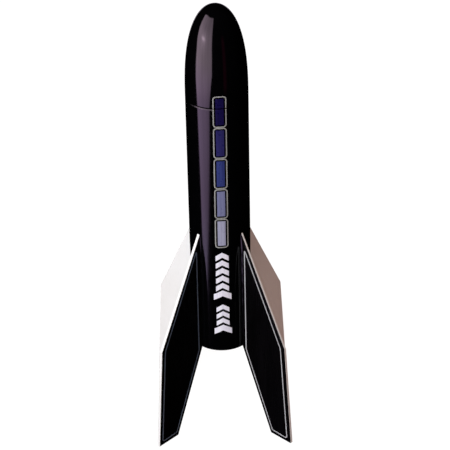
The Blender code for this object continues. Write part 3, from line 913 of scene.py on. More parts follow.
# ---------------------------------------------------------------- decals on the tube and nose
DECAL_AZIMUTH = math.radians(3.6)               # from the front towards the right
DECAL_LEAN = 0.0039                             # the column leans a little, as laid on by hand
LEAN_PIVOT = 158 * MM                           # above the tube's aft end
WINDOW_COUNT = 5
WINDOW_TOP, WINDOW_BOTTOM = AFT + 199.5 * MM, AFT + 84.4 * MM
WINDOW_PITCH = (WINDOW_TOP - WINDOW_BOTTOM) / WINDOW_COUNT
WINDOW_HALF = 4.53 * MM
WINDOW_LINE = 0.77 * MM                         # width of a window's outline
PANE_HALF, PANE_INSET, PANE_COLUMNS = 2.67 * MM, 1.95 * MM, 12
PANE_FILM = mm(0.004, 0.06)                     # underside and top above the skin
FRAME_FILM = mm(0.006, 0.075)


def on_skin(across, z, height):
    shift = across + DECAL_LEAN * (z - AFT - LEAN_PIVOT)
    azimuth = DECAL_AZIMUTH + shift / TUBE_R
    radius = skin(z) + height
    return Vector((math.sin(azimuth) * radius, -math.cos(azimuth) * radius, z))


def rounded_rect(half, bottom, top, radius, per_side=10, per_corner=8):
    """An anticlockwise outline with a fixed number of points, so that two can be bridged."""
    points = []
    right, low, high = half - radius, bottom + radius, top - radius
    corners = ((right, low, -90), (right, high, 0), (-right, high, 90), (-right, low, 180))

    def on_arc(x, z, degrees):
        angle = math.radians(degrees)
        return x + radius * math.cos(angle), z + radius * math.sin(angle)

    for i, (x, z, first) in enumerate(corners):
        for k in range(per_corner + 1):
            points.append(on_arc(x, z, first + 90 * k / per_corner))
        begin, end = points[-1], on_arc(*corners[(i + 1) % 4])
        for k in range(1, per_side):
            t = k / per_side
            points.append((begin[0] + (end[0] - begin[0]) * t,
                           begin[1] + (end[1] - begin[1]) * t))
    return points


def frame_sheet(bottom, top):
    return band(rounded_rect(WINDOW_HALF, bottom, top, 2.3 * MM),
                rounded_rect(WINDOW_HALF - WINDOW_LINE, bottom + WINDOW_LINE,
                             top - WINDOW_LINE, 1.55 * MM))


def pane_sheet(bottom, top, rows):
    bottom, top = bottom + PANE_INSET, top - PANE_INSET
    row = PANE_COLUMNS + 1
    verts = [(-PANE_HALF + 2 * PANE_HALF * i / PANE_COLUMNS, bottom + (top - bottom) * j / rows)
             for j in range(rows + 1) for i in range(row)]
    faces = [[j * row + i, j * row + i + 1, (j + 1) * row + i + 1, (j + 1) * row + i]
             for j in range(rows) for i in range(PANE_COLUMNS)]
    return verts, faces


def clip(flat, z, keep_above):
    """The part of a flat sheet above or below z, with close rows where it wraps over a rim."""
    shape = bmesh.new()
    corners = [shape.verts.new((across, up, 0)) for across, up in flat[0]]
    for face in flat[1]:
        shape.faces.new([corners[i] for i in face])

    def bisect(height, normal_y, clear):
        bmesh.ops.bisect_plane(
            shape, geom=list(shape.verts) + list(shape.edges) + list(shape.faces),
            plane_co=(0, height, 0), plane_no=(0, normal_y, 0), clear_outer=clear)

    bisect(z, -1 if keep_above else 1, True)
    for k in range(1, 8):
        bisect(z + (1 if keep_above else -1) * 0.055 * MM * k, 1, False)
    shape.verts.index_update()
    verts = [(vert.co.x, vert.co.y) for vert in shape.verts]
    faces = []
    for face in shape.faces:
        loop = [vert.index for vert in face.verts]
        area = sum(verts[i][0] * verts[j][1] - verts[j][0] * verts[i][1]
                   for i, j in zip(loop[-1:] + loop[:-1], loop))
        if abs(area) > 1e-16:
            faces.append(loop)
    shape.free()
    return verts, faces


# windows, numbered from the top; one that crosses the joint is split in two
SPLITS = (("tube", "airframe", TOP - 0.03 * MM, False),
          ("nose", "nose", TOP + JOINT + 0.03 * MM, True))
window_frames = {"tube": [], "nose": []}
for k in range(WINDOW_COUNT):
    top = WINDOW_TOP - k * WINDOW_PITCH
    bottom = top - WINDOW_PITCH
    outline = frame_sheet(bottom + 0.1 * MM, top - 0.14 * MM)
    name = "window_pane_%d" % (k + 1)
    if top > TOP:
        pane = pane_sheet(bottom, top, rows=20)
        for part, body, cut_z, above in SPLITS:
            window_frames[part].append(clip(outline, cut_z, above))
            piece = film(name + "_" + part, [clip(pane, cut_z, above)], on_skin, *PANE_FILM)
            put(piece, body, "window_film", PANES[k])
    else:
        window_frames["tube"].append(outline)
        piece = film(name, [pane_sheet(bottom, top, rows=6)], on_skin, *PANE_FILM)
        put(piece, "airframe", "window_film", PANES[k])
put(film("window_frames", window_frames["tube"], on_skin, *FRAME_FILM),
    "airframe", "window_film", OUTLINE, replaces="window_decal")
put(film("window_frame_nose", window_frames["nose"], on_skin, *FRAME_FILM),
    "nose", "window_film", OUTLINE, replaces="window_decal_nose")


def chevron(z, half, thick, rise, columns=12):
    """One upward chevron: its point at the middle, its tails lower by rise."""
    verts = []
    for i in range(2 * columns + 1):
        across = -half + half * i / columns
        low = z + rise * (1 - abs(across) / half)
        verts += [(across, low), (across, low + thick)]
    return verts, [[2 * i, 2 * i + 2, 2 * i + 3, 2 * i + 1] for i in range(2 * columns)]


# groups of one large and several small chevrons:
# height above the aft end (mm), count, pitch and thickness (mm) of the small ones
CHEVRON_GROUPS = ((13.8, 3, 5.6, 3.6), (42.2, 5, 6.1, 4.0))
marks = []
for start, count, pitch, thick in CHEVRON_GROUPS:
    z = AFT + start * MM
    marks.append(chevron(z, *mm(6.1, 4.7, 3.3)))
    z += 7.2 * MM
    for k in range(count):
        marks.append(chevron(z, *mm(4.45, thick, 2.9)))
        z += pitch * MM
put(film("marking_chevrons", marks, on_skin, *PANE_FILM), "airframe", "marking_film", MARK,
    replaces="marking_decal")

# ---------------------------------------------------------------- launch lug and its glue
lug_low, lug_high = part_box("launch_lug")
LUG_R = (lug_high.x - lug_low.x) / 2
LUG_Y = (lug_low.y + lug_high.y) / 2
lug = pipe("lug_tube", "launch_lug", LUG_R, LUG_R - 0.3 * MM, 0.08 * MM, 3, 96, axis_y=LUG_Y)
put(lug, "airframe", "tube_paint", LUG_BLACK, KRAFT, replaces="launch_lug")
paint_faces(lug, lambda centre, normal: int(faces_inwards(centre, normal, LUG_Y)))


def lug_bead(name, way):
    """Glue between the lug and the tube, on the side way (-1 left, 1 right)."""
    sections = []
    for k in range(31):
        z = lug_low.z + 0.4 * MM + (lug_high.z - lug_low.z - 0.8 * MM) * k / 30
        ease = min(1.0, k / 2.5, (30 - k) / 2.5)
        spread = (1.3 + 0.7 * ease) * MM * (1 + 0.05 * math.sin(k * 2.1 + way))
        tube_y = math.sqrt(TUBE_R * TUBE_R - spread * spread)
        climb = math.radians(20 + 34 * ease)
        lug_x, lug_y = LUG_R * math.sin(climb), LUG_Y - LUG_R * math.cos(climb)
        section = [(0.0, TUBE_R - 0.1 * MM), (0.0, LUG_Y - LUG_R + 0.1 * MM),
                   (lug_x * 0.6, LUG_Y - LUG_R * 0.93),
                   *bezier((lug_x, lug_y), (lug_x * 0.95, tube_y + 0.15 * MM),
                           (spread, tube_y)),
                   (spread * 0.9, tube_y - 0.1 * MM)]
        sections.append([(way * x, y, z) for x, y in section])
    put(solid(name, loft(sections), 60.0), "airframe", "tube_paint", LUG_BLACK)


lug_bead("lug_bead_left", -1.0)
lug_bead("lug_bead_right", 1.0)


# ---------------------------------------------------------------- engine mount
def build_mount():
    """The engine tube, with the slit for the hook's upper arm at the back."""
    low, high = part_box("engine_tube")
    profile = [(MOUNT_R, high.z), (MOUNT_R, low.z), (MOUNT_INNER_R, low.z),
               (MOUNT_INNER_R, high.z)]
    mount = solid("mount_tube", lathe(fillet(profile, 0.08 * MM, 3), 128))
    block = bmesh.new()
    bmesh.ops.create_cube(block, size=1.0)
    bmesh.ops.scale(block, vec=mm(3.8, 3.0, 1.7), verts=block.verts)
    bmesh.ops.translate(block, vec=(0, MOUNT_INNER_R, HOOK_TOP), verts=block.verts)
    tool = add_object("slit_tool", to_mesh("slit", block))
    cut = mount.modifiers.new("slit", "BOOLEAN")
    cut.operation = "DIFFERENCE"
    cut.solver = "EXACT"
    cut.object = tool
    cut_mesh = evaluated_mesh(mount)
    mount.modifiers.clear()
    mount.data = smooth(cut_mesh, 35)
    bpy.data.objects.remove(tool)
    put(firm(mount), "airframe", "kraft", KRAFT, replaces="engine_tube")


def arc(radius, start, end, steps):
    angles = [math.radians(start + (end - start) * i / steps) for i in range(steps + 1)]
    return [(radius * math.cos(angle), radius * math.sin(angle)) for angle in angles]


def build_aft_ring():
    """The bore's outline opens into the notch that clears the hook, at +Y."""
    low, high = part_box("aft_centering_ring")
    half_notch, bevel = 2.1 * MM, 0.08 * MM
    opening = math.degrees(math.asin(half_notch / RING_BORE_R))
    notch = points_mm([(2.1, 9.7), (2.1, 16.5), (-2.1, 16.5), (-2.1, 9.7)])
    bore = (arc(RING_BORE_R, 90 + opening, 450 - opening, 120)
            + fillet(notch, mm(0, 0.5, 0.5, 0), 4, closed=False))
    curve = bpy.data.curves.new("aft_ring", "CURVE")
    curve.dimensions = "2D"
    curve.fill_mode = "BOTH"
    curve.extrude = (high.z - low.z) / 2 - bevel
    curve.bevel_depth = bevel
    curve.bevel_resolution = 1
    curve.offset = -bevel
    for outline in (arc(RING_R, 0, 360, 160)[:-1], bore):
        spline = curve.splines.new("POLY")
        spline.points.add(len(outline) - 1)
        for point, (x, y) in zip(spline.points, outline):
            point.co = (x, y, 0, 1)
        spline.use_cyclic_u = True
    holder = add_object("tmp", curve)
    mesh = evaluated_mesh(holder)
    bpy.data.objects.remove(holder)
    shape = bmesh.new()
    shape.from_mesh(mesh)
    bmesh.ops.translate(shape, vec=(0, 0, (low.z + high.z) / 2), verts=shape.verts)
    put(firm(solid("aft_ring_card", shape, 40.0)), "airframe", "ring_card", RING_CARD,
        replaces="aft_centering_ring")


def build_hook():
    """Engine hook: one bent strip with rounded bends, in the YZ plane."""
    # middle line from the upper arm down: (y, z)
    line = [(7.4 * MM, HOOK_TOP), (10.0 * MM, HOOK_TOP),
            *points_mm([(10.0, 55.45), (6.9, 55.45), (10.7, 50.2)])]
    path = fillet(line, mm(0, 0.6, 0.6, 0.45, 0), 8, closed=False)
    half_thick, half_width = 0.35 * MM, 1.6 * MM
    outline = (offset_line(path, half_thick, closed=False)
               + offset_line(path, -half_thick, closed=False)[::-1])
    shape = bmesh.new()
    right = [shape.verts.new((half_width, y, z)) for y, z in outline]
    left = [shape.verts.new((-half_width, y, z)) for y, z in outline]
    shape.faces.new(right)
    shape.faces.new(list(reversed(left)))
    count = len(outline)
    for i in range(count):
        j = (i + 1) % count
        shape.faces.new((right[j], right[i], left[i], left[j]))
    bmesh.ops.recalc_face_normals(shape, faces=shape.faces)
    rims = [shape.edges.get((loop[i], loop[(i + 1) % count]))
            for loop in (right, left) for i in range(count)]
    bmesh.ops.bevel(shape, geom=rims, offset=0.09 * MM, segments=2, profile=0.5,
                    affect="EDGES", clamp_overlap=True)
    put(firm(solid("hook_strip", shape)), "hook", "spring_steel", STEEL,
        replaces="engine_hook")


build_mount()
build_aft_ring()
put(pipe("fore_ring_card", "forward_centering_ring", RING_R, RING_BORE_R, 0.12 * MM, 3, 192),
    "airframe", "ring_card", RING_CARD, replaces="forward_centering_ring")
put(pipe("block_ring", "engine_block", 8.7 * MM, 6.5 * MM, 0.25 * MM, 4, 128),
    "airframe", "kraft", CASING, replaces="engine_block")
build_hook()

# ---------------------------------------------------------------- engine
put(pipe("casing_tube", "engine_casing", 8.8 * MM, 6.35 * MM, mm(0.35, 0.35, 0.3, 0.3), 5, 160),
    "engine", "casing_paper", CASING, replaces="engine_casing")

# nozzle: (radius, height above its lower end), mm
low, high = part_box("engine_nozzle")
nozzle_profile = fillet(
    [(NOZZLE_R, high.z), (NOZZLE_R, low.z),
     *points_mm([(5.0, 0), (4.6, 0.5), (3.6, 0.5), (1.6, 4.2), (1.6, 6.6)], low.z),
     (2.4 * MM, high.z)],
    mm(0.1, 0.2, 0.2, 0.2, 0.4, 0.8, 0.4, 0.1), 4)
put(solid("nozzle_clay", lathe(nozzle_profile, 128)), "engine", "clay", CLAY,
    replaces="engine_nozzle")

# cap with a dished top: (radius, height from its upper end), mm
low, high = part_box("engine_cap")
cap_profile = points_mm([(0, -0.9), (1.5, -0.85), (3.2, -0.6), (4.6, -0.2), (5.5, 0),
                         (6.1, -0.15), (6.2, -0.4)], high.z) + [(NOZZLE_R, low.z), (0, low.z)]
put(solid("cap_clay", lathe(cap_profile, 96, closed=False)), "engine", "clay", CAP_CLAY,
    replaces="engine_cap")

# ---------------------------------------------------------------- rolled canopy
canopy_low, canopy_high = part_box("parachute_canopy")
CANOPY_R = (canopy_high.x - canopy_low.x) / 2
CANOPY_H = canopy_high.z - canopy_low.z
WRAP_LOW, WRAP_HIGH = 169.5 * MM, 193.0 * MM    # heights between which the lines are wound


def roll_radius(angle, z):
    """Outside of the rolled canopy: round, a little uneven, drawn in where lines are wound."""
    share = (z - canopy_low.z) / CANOPY_H
    end = min(share, 1 - share)
    wound = (min(1.0, max(0.0, (z - WRAP_LOW) / (5 * MM) + 0.6))
             * min(1.0, max(0.0, (WRAP_HIGH - z) / (5 * MM) + 0.6)))
    uneven = noise.noise(Vector((math.cos(angle) * 1.3 + 3, math.sin(angle) * 1.3, share * 3.0)))
    return (CANOPY_R - 0.35 * MM - 0.55 * MM * wound - 1.7 * MM * math.exp(-end / 0.035)
            + 0.28 * MM * uneven * (1 - 0.6 * wound))


def canopy_point(along, up, turns):
    """A place on the spiral sheet; along runs 0 to 1 outwards, up 0 to 1."""
    end = min(up, 1 - up)
    z = canopy_low.z + 1.4 * MM + (CANOPY_H - 2.8 * MM) * up
    angle = 2 * math.pi * turns * along + 0.6
    share = 0.12 + 0.88 * (1 - (1 - along) ** 1.6)
    crease = 0.10 * MM * (noise.noise(Vector((angle * 2.2, up * 1.2, 4)))
                          + 0.8 * noise.noise(Vector((angle * 5.0, up * 3.0, 9))))
    radius = roll_radius(angle, z) * share + crease * (0.4 + along)
    if along > 0.975:                           # the free edge stands proud
        radius += 0.12 * MM
    radius = min(radius, CANOPY_R - 0.2 * MM)
    upper = up > 0.5
    ragged = 1.1 * MM * noise.noise(Vector((angle * 0.8, along * 3, 7 if upper else 2)))
    z += ragged * math.exp(-end / 0.05) * (1 if upper else -1)
    z = min(max(z, canopy_low.z + 0.2 * MM), canopy_high.z - 0.2 * MM)
    return radius * math.cos(angle), radius * math.sin(angle), z


def canopy_roll():
    """The canopy rolled up: one long sheet in a spiral, looser towards its core."""
    turns, per_turn, levels = 7, 72, 40
    count = turns * per_turn
    shape = bmesh.new()
    grid = [[shape.verts.new(canopy_point(i / count, j / levels, turns))
             for i in range(count + 1)] for j in range(levels + 1)]
    for lower, upper in zip(grid, grid[1:]):
        for i in range(count):
            shape.faces.new((lower[i], lower[i + 1], upper[i + 1], upper[i]))
    return sheet("canopy_roll", shape, 0.22 * MM)


put(canopy_roll(), "recovery", "canopy_sheet", CANOPY, replaces="parachute_canopy")

# ---------------------------------------------------------------- wadding
low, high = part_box("recovery_wadding")
PACK_R = (high.x - low.x) / 2
PACK_MIDDLE, PACK_HALF = (low.z + high.z) / 2, (high.z - low.z) / 2
rng = np.random.default_rng(11)
FOLDS = []                                      # direction, frequency, phase, depth
for k in range(30):
    direction = rng.normal(size=3)
    direction /= np.linalg.norm(direction)
    frequency = 0.55 * 1.085 ** k
    FOLDS.append((Vector(direction), frequency, rng.uniform(0, 4), 0.34 / frequency ** 0.75))


def tissue_point(ray, lift=0.0):
    """A point on the crumpled pack along ray: a rounded disc broken by straight, sharp folds."""
    base = ray / max(math.hypot(ray.x, ray.y) ** 4 + abs(ray.z) ** 4, 1e-9) ** 0.25
    height = 0.0
    for direction, frequency, phase, depth in FOLDS:
        wave = (base.dot(direction) * frequency * 2.0 + phase) % 2.0
        height += depth * (abs(wave - 1.0) * 2.0 - 1.0)
    scale = min(0.975, 0.90 + 0.045 * height) + lift
    return Vector((base.x * PACK_R * scale, base.y * PACK_R * scale,
                   PACK_MIDDLE + base.z * PACK_HALF * scale))


def crumple():
    shape = bmesh.new()
    bmesh.ops.create_icosphere(shape, subdivisions=6, radius=1.0)
    for vert in shape.verts:
        vert.co = tissue_point(vert.co.normalized())
    return solid("wadding_crumple", shape, 50.0)


def tissue_edges():
    """Free edges of the folded sheets, standing a little proud of the pack."""
    shape = bmesh.new()
    steps = 240
    # tilt, turn and height of each edge, in radians; then the way it spreads
    edges = ((0.35, 0.4, 0.10, 0.20), (0.5, 2.4, -0.28, -0.20), (0.9, 4.4, 0.05, 0.20))
    for k, (tilt, turn, height, spread) in enumerate(edges):
        rows = []
        for i in range(steps):
            angle = 2 * math.pi * i / steps
            cos, sin = math.cos(angle), math.sin(angle)
            wave = (0.10 * math.sin(3 * angle + k) + 0.05 * math.sin(7 * angle + 2 * k)
                    + 0.03 * math.sin(17 * angle))
            flutter = 0.5 + 0.5 * noise.noise(Vector((cos * 3, sin * 3, k * 5.0)))
            row = []
            for j in range(5):
                t = j / 4
                rise = height + tilt * math.sin(angle + turn) + wave + spread * t
                ray = Vector((cos * math.cos(rise), sin * math.cos(rise), math.sin(rise)))
                lift = -0.015 + 0.055 * t * t * flutter + 0.012 * t * math.sin(23 * angle)
                row.append(shape.verts.new(tissue_point(ray, lift)))
            rows.append(row)
        for first, second in zip(rows, rows[1:] + rows[:1]):
            for j in range(4):
                shape.faces.new((first[j], second[j], second[j + 1], first[j + 1]))
    bmesh.ops.recalc_face_normals(shape, faces=shape.faces)
    return sheet("wadding_edges", shape, 0.14 * MM)


put(crumple(), "recovery", "tissue", TISSUE, replaces="recovery_wadding")
put(tissue_edges(), "recovery", "tissue", TISSUE)

# ---------------------------------------------------------------- shroud lines
# the bundle's run from the roll to the snap hook: x as a share of a line's own x, y and z in mm
LINE_TAIL = [(1.4, -15.2, 201.0), (1.3, -14.9, 204.6), (1.2, -13.0, 206.9), (1.0, -9.4, 208.7),
             (1.0, -5.6, 211.0), (0.8, -3.2, 212.7), (0.8, -1.2, 213.4), (0.8, 0.8, 213.5),
             (0.6, 1.9, 213.2)]


def shroud_line(k):
    """One line: three turns round the roll, then up in the gathered bundle."""
    points = []
    for i in range(181):
        t = i / 180
        angle = math.radians(-90 + 360 * 3 * t)
        z = (170.4 + 1.0 * k + 19.5 * t + 0.5 * math.sin(6 * t + 2 * k)) * MM
        radius = roll_radius(angle, z) + 0.22 * MM
        points.append(Vector((radius * math.cos(angle), radius * math.sin(angle), z)))
    x = (k - 1) * 0.5 * MM
    tail = [(x * 1.4, points[-1].y - 0.1 * MM, 197.0 * MM)]
    tail += [(x * share, y * MM, z * MM) for share, y, z in LINE_TAIL]
    return wire(points[:-3] + smooth_path([points[-2]] + tail, 6), 0.23 * MM, 8)


line_knot = knot(0.85 * MM, mm(0, 2.4, 213.15), broad=(6, 0, 4), fine=(0, 9, 0))
put(join("line_bundle", [shroud_line(k) for k in range(3)] + [line_knot], 60),
    "recovery", "line", LINE, replaces="shroud_lines")

# ---------------------------------------------------------------- swivel
# barrel with its lower ring: (radius, height), mm
BARREL = [(0, 220.6), (1.2, 220.6), (1.2, 222.4), (0.65, 222.4), (0.65, 223.5), (1.05, 223.5),
          (1.3, 223.05), (1.6, 222.7), (1.6, 219.8), (1.3, 219.45), (1.05, 219.0), (0, 219.0)]
BARREL_ROUNDING = mm(0, 0, 0, 0, 0.1, 0.15, 0.15, 0.3, 0.3, 0.15, 0.15, 0)
barrel = lathe(fillet(points_mm(BARREL), BARREL_ROUNDING, 3, closed=False), 64, closed=False)
lower_ring = upright_torus(217.6 * MM, 1.6 * MM, 0.4 * MM, across=(0, 1, 0))
put(join("swivel_body", [barrel, lower_ring]), "recovery", "brass", BRASS,
    replaces="swivel_barrel")

# the eye that turns with the nose: (radius, height), mm
STEM = [(0, 224.9), (0.42, 224.9), (0.42, 222.0), (0.95, 222.0), (0.95, 221.1), (0, 221.1)]
upper_ring = upright_torus(226.4 * MM, 2.0 * MM, 0.45 * MM, across=(0, 1, 0))
put(join("swivel_top_eye", [lathe(points_mm(STEM), 32, closed=False), upper_ring]),
    "nose", "brass", BRASS, replaces="swivel_eye")


# ---------------------------------------------------------------- snap hook
def build_snap_hook():
    """A closed wire loop with its tail wrapped back over the gate."""
    loop = []
    for i in range(72):
        angle = 2 * math.pi * i / 72
        cos, sin = math.cos(angle), math.sin(angle)
        half = 2.2 if sin < 0 else 2.2 - 0.5 * sin          # narrower at the top
        loop.append(Vector((half * MM * math.copysign(abs(cos) ** 0.8, cos), 0,
                            (212.8 + 4.4 * sin) * MM)))
    wrap = [Vector(mm(-2.05 + 0.62 * math.cos(angle), 0.62 * math.sin(angle),
                      213.4 + 0.24 * angle / math.pi))
            for angle in np.linspace(0, 5 * math.pi, 60)]
    pieces = [wire(loop, 0.35 * MM, 12, cyclic=True), wire(wrap, 0.22 * MM, 8)]
    put(join("snap_wire", pieces, 60), "recovery", "wire", WIRE, replaces="snap_hook")


build_snap_hook()


# ---------------------------------------------------------------- shock cord and its tab
def build_cord_tab():
    """Paper tab that holds the shock cord to the left wall: three layers, smaller inwards."""
    low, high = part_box("shock_cord_mount")
    rows = cols = 24
    shape = bmesh.new()

    def layer_face(radius, shrink):
        """A grid of vertices on the wall; radius is in mm."""
        height = high.z - low.z - (0.8 + 12 * shrink) * MM
        grid = []
        for j in range(rows + 1):
            up = j / rows
            z = low.z + (0.4 + 6 * shrink) * MM + height * up
            row = []
            for i in range(cols + 1):
                across = i / cols
                angle = math.radians(180 + (across - 0.5) * 2 * (17 - 24 * shrink))
                bulge = 0.0
                if radius < 19.6:
                    bulge = 0.10 * math.sin(math.pi * across) * math.sin(math.pi * up)
                reach = (radius - bulge) * MM
                row.append(shape.verts.new((reach * math.cos(angle),
                                            reach * math.sin(angle), z)))
            grid.append(row)
        return grid

    # inner and outer radius in mm, and how much smaller the layer is
    for inner, outer, shrink in ((19.92, 20.2, 0.0), (19.55, 19.88, 0.05), (19.1, 19.5, 0.09)):
        near, far = layer_face(inner, shrink), layer_face(outer, shrink)
        add = shape.faces.new
        for j in range(rows):
            for i in range(cols):
                add((near[j][i], near[j][i + 1], near[j + 1][i + 1], near[j + 1][i]))
                add((far[j][i + 1], far[j][i], far[j + 1][i], far[j + 1][i + 1]))
        for i in range(cols):
            add((near[0][i + 1], near[0][i], far[0][i], far[0][i + 1]))
            add((near[rows][i], near[rows][i + 1], far[rows][i + 1], far[rows][i]))
        for j in range(rows):
            add((near[j][0], near[j + 1][0], far[j + 1][0], far[j][0]))
            add((near[j + 1][cols], near[j][cols], far[j][cols], far[j + 1][cols]))
    put(solid("cord_tab", shape, 40), "airframe", "tab_paper", TAB,
        replaces="shock_cord_mount")


CORD_PATH_R = 18.1                              # mm, the folds' distance from the axis
# where the cord leaves the folds: (angle in degrees from +X, height in mm)
CORD_LOW = ((121, 186.8), (112, 187.3), (102, 187.2), (95, 187.6))
# then up the back wall and in to the snap hook: (x, y, z), mm
CORD_RISE = [(-0.35, 17.95, 189.6), (0.0, 17.95, 193.0), (0.0, 17.95, 198.0),
             (0.0, 17.95, 203.0), (0.0, 17.85, 206.6), (0.0, 17.2, 208.9), (0.0, 15.7, 210.0),
             (0.0, 13.0, 210.25), (0.0, 7.0, 210.2), (0.0, 2.0, 210.2), (0.0, -1.6, 210.2)]


def build_cord():
    """Folded along the wall, then in to the snap hook."""
    def on_wall(degrees, z):
        angle = math.radians(degrees)
        return Vector(mm(CORD_PATH_R * math.cos(angle), CORD_PATH_R * math.sin(angle), z))

    folds, per_fold = 3, 44
    points = []
    for i in range(folds * per_fold + 1):
        t = i / (folds * per_fold)
        z = 196.2 + 10.0 * math.cos(math.pi * (2 * folds + 1) * t)
        points.append(on_wall(179 - 52 * t, z))
    rise = [on_wall(*station) for station in CORD_LOW] + [Vector(mm(*p)) for p in CORD_RISE]
    path = points[:-1] + smooth_path([points[-1]] + rise, 8)
    cord_knot = knot(1.35 * MM, mm(0, -2.6, 210.2), broad=(4.2, 0, 3.0), fine=(-2, 7, 0))
    cord = join("cord_elastic", [wire(path, 0.72 * MM, 14), cord_knot], 60)
    cord.data.materials.append(ELASTIC)
    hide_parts("shock_cord")
    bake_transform(cord)


build_cord_tab()
build_cord()

# ---------------------------------------------------------------- frame nodes that stay
for node, material in (("hook_retainer_ring", BAND), ("propellant_grain", POWDER),
                       ("delay_grain", DELAY), ("ejection_charge", POWDER)):
    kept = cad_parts[node]
    kept.data.materials.clear()
    kept.data.materials.append(material)


# ---------------------------------------------------------------- floor
def build_floor():
    """A pale floor that neither reflects in the rocket nor lights it."""
    shape = bmesh.new()
    bmesh.ops.create_grid(shape, x_segments=1, y_segments=1, size=12.0)
    bmesh.ops.translate(shape, vec=(0, 0, -0.0003), verts=shape.verts)
    floor = add_object("floor", to_mesh("floor", shape))
    material = bpy.data.materials.new("pale_floor")
    material.use_nodes = True
    graph = Graph(material.node_tree)
    graph.tree.nodes.clear()
    diffuse = graph.node("ShaderNodeBsdfDiffuse", {"Color": (0.13, 0.13, 0.13, 1)})
    glow = graph.node("ShaderNodeEmission", {"Color": (1, 1, 1, 1), "Strength": 0.95})
    both = graph.node("ShaderNodeAddShader", {0: diffuse.outputs[0], 1: glow.outputs[0]})
    graph.node("ShaderNodeOutputMaterial", {"Surface": both.outputs[0]})
    floor.data.materials.append(material)
    floor.visible_glossy = False
    floor.visible_diffuse = False


build_floor()

# ---------------------------------------------------------------- world
# The world is pale for the camera, a warm fill for soft light, and for reflections a dark
# studio with one tall soft box. Azimuth runs from the front (-Y) to the right; all in degrees.
BOX_ELEVATION = (-34.0, 56.0)
AZIMUTH_SPAN = (-100.0, 0.0)
# edges of the soft box: (elevation, azimuth), and its top: (azimuth, elevation)
LEFT_EDGE = [(-34, -55.5), (-33.2, -59), (-32.6, -66), (-32.0, -71), (-30.0, -72.5),
             (-28.0, -76.5), (-22.0, -80), (-8.0, -81), (0.0, -85.5), (10.0, -88), (30.0, -90),
             (45.0, -99)]
RIGHT_EDGE = [(-34, -56), (-33.2, -52.6), (-32.0, -44), (-30.3, -35.2), (-28.6, -28.8),
              (-26.0, -24.5), (-18.0, -15.8), (-8.0, -15.0), (0.0, -15.6), (10.0, -15.5),
              (30.0, -13.5)]
TOP_EDGE = [(-100, 40), (-82, 49), (-15, 54), (0, 54)]
# brightness across the box, from its left edge (0) to its right (1), low down and high up
FALL_LOW = [(0.0, 1.12), (0.25, 1.08), (0.6, 1.02), (0.85, 0.80), (1.0, 0.72)]
FALL_HIGH = [(0.0, 1.12), (0.3, 1.05), (0.5, 0.88), (1.0, 0.68)]
# brightness by elevation
UP_GAIN = [(-34, 0.46), (-32.4, 0.49), (-30.9, 0.46), (-29, 0.585), (-26.7, 0.69), (-25, 0.80),
           (-14, 1.0), (10, 1.0), (24, 0.82), (50, 0.74)]
# colour by elevation
TONES = [(-32.4, (1.0, 0.789, 1.306)), (-30.9, (1.0, 0.690, 1.170)),
         (-29.0, (1.0, 0.700, 1.170)), (-26.7, (1.0, 0.694, 1.075)), (-12.0, (1.0, 0.755, 0.94))]
BOX_STRENGTH = 3.24


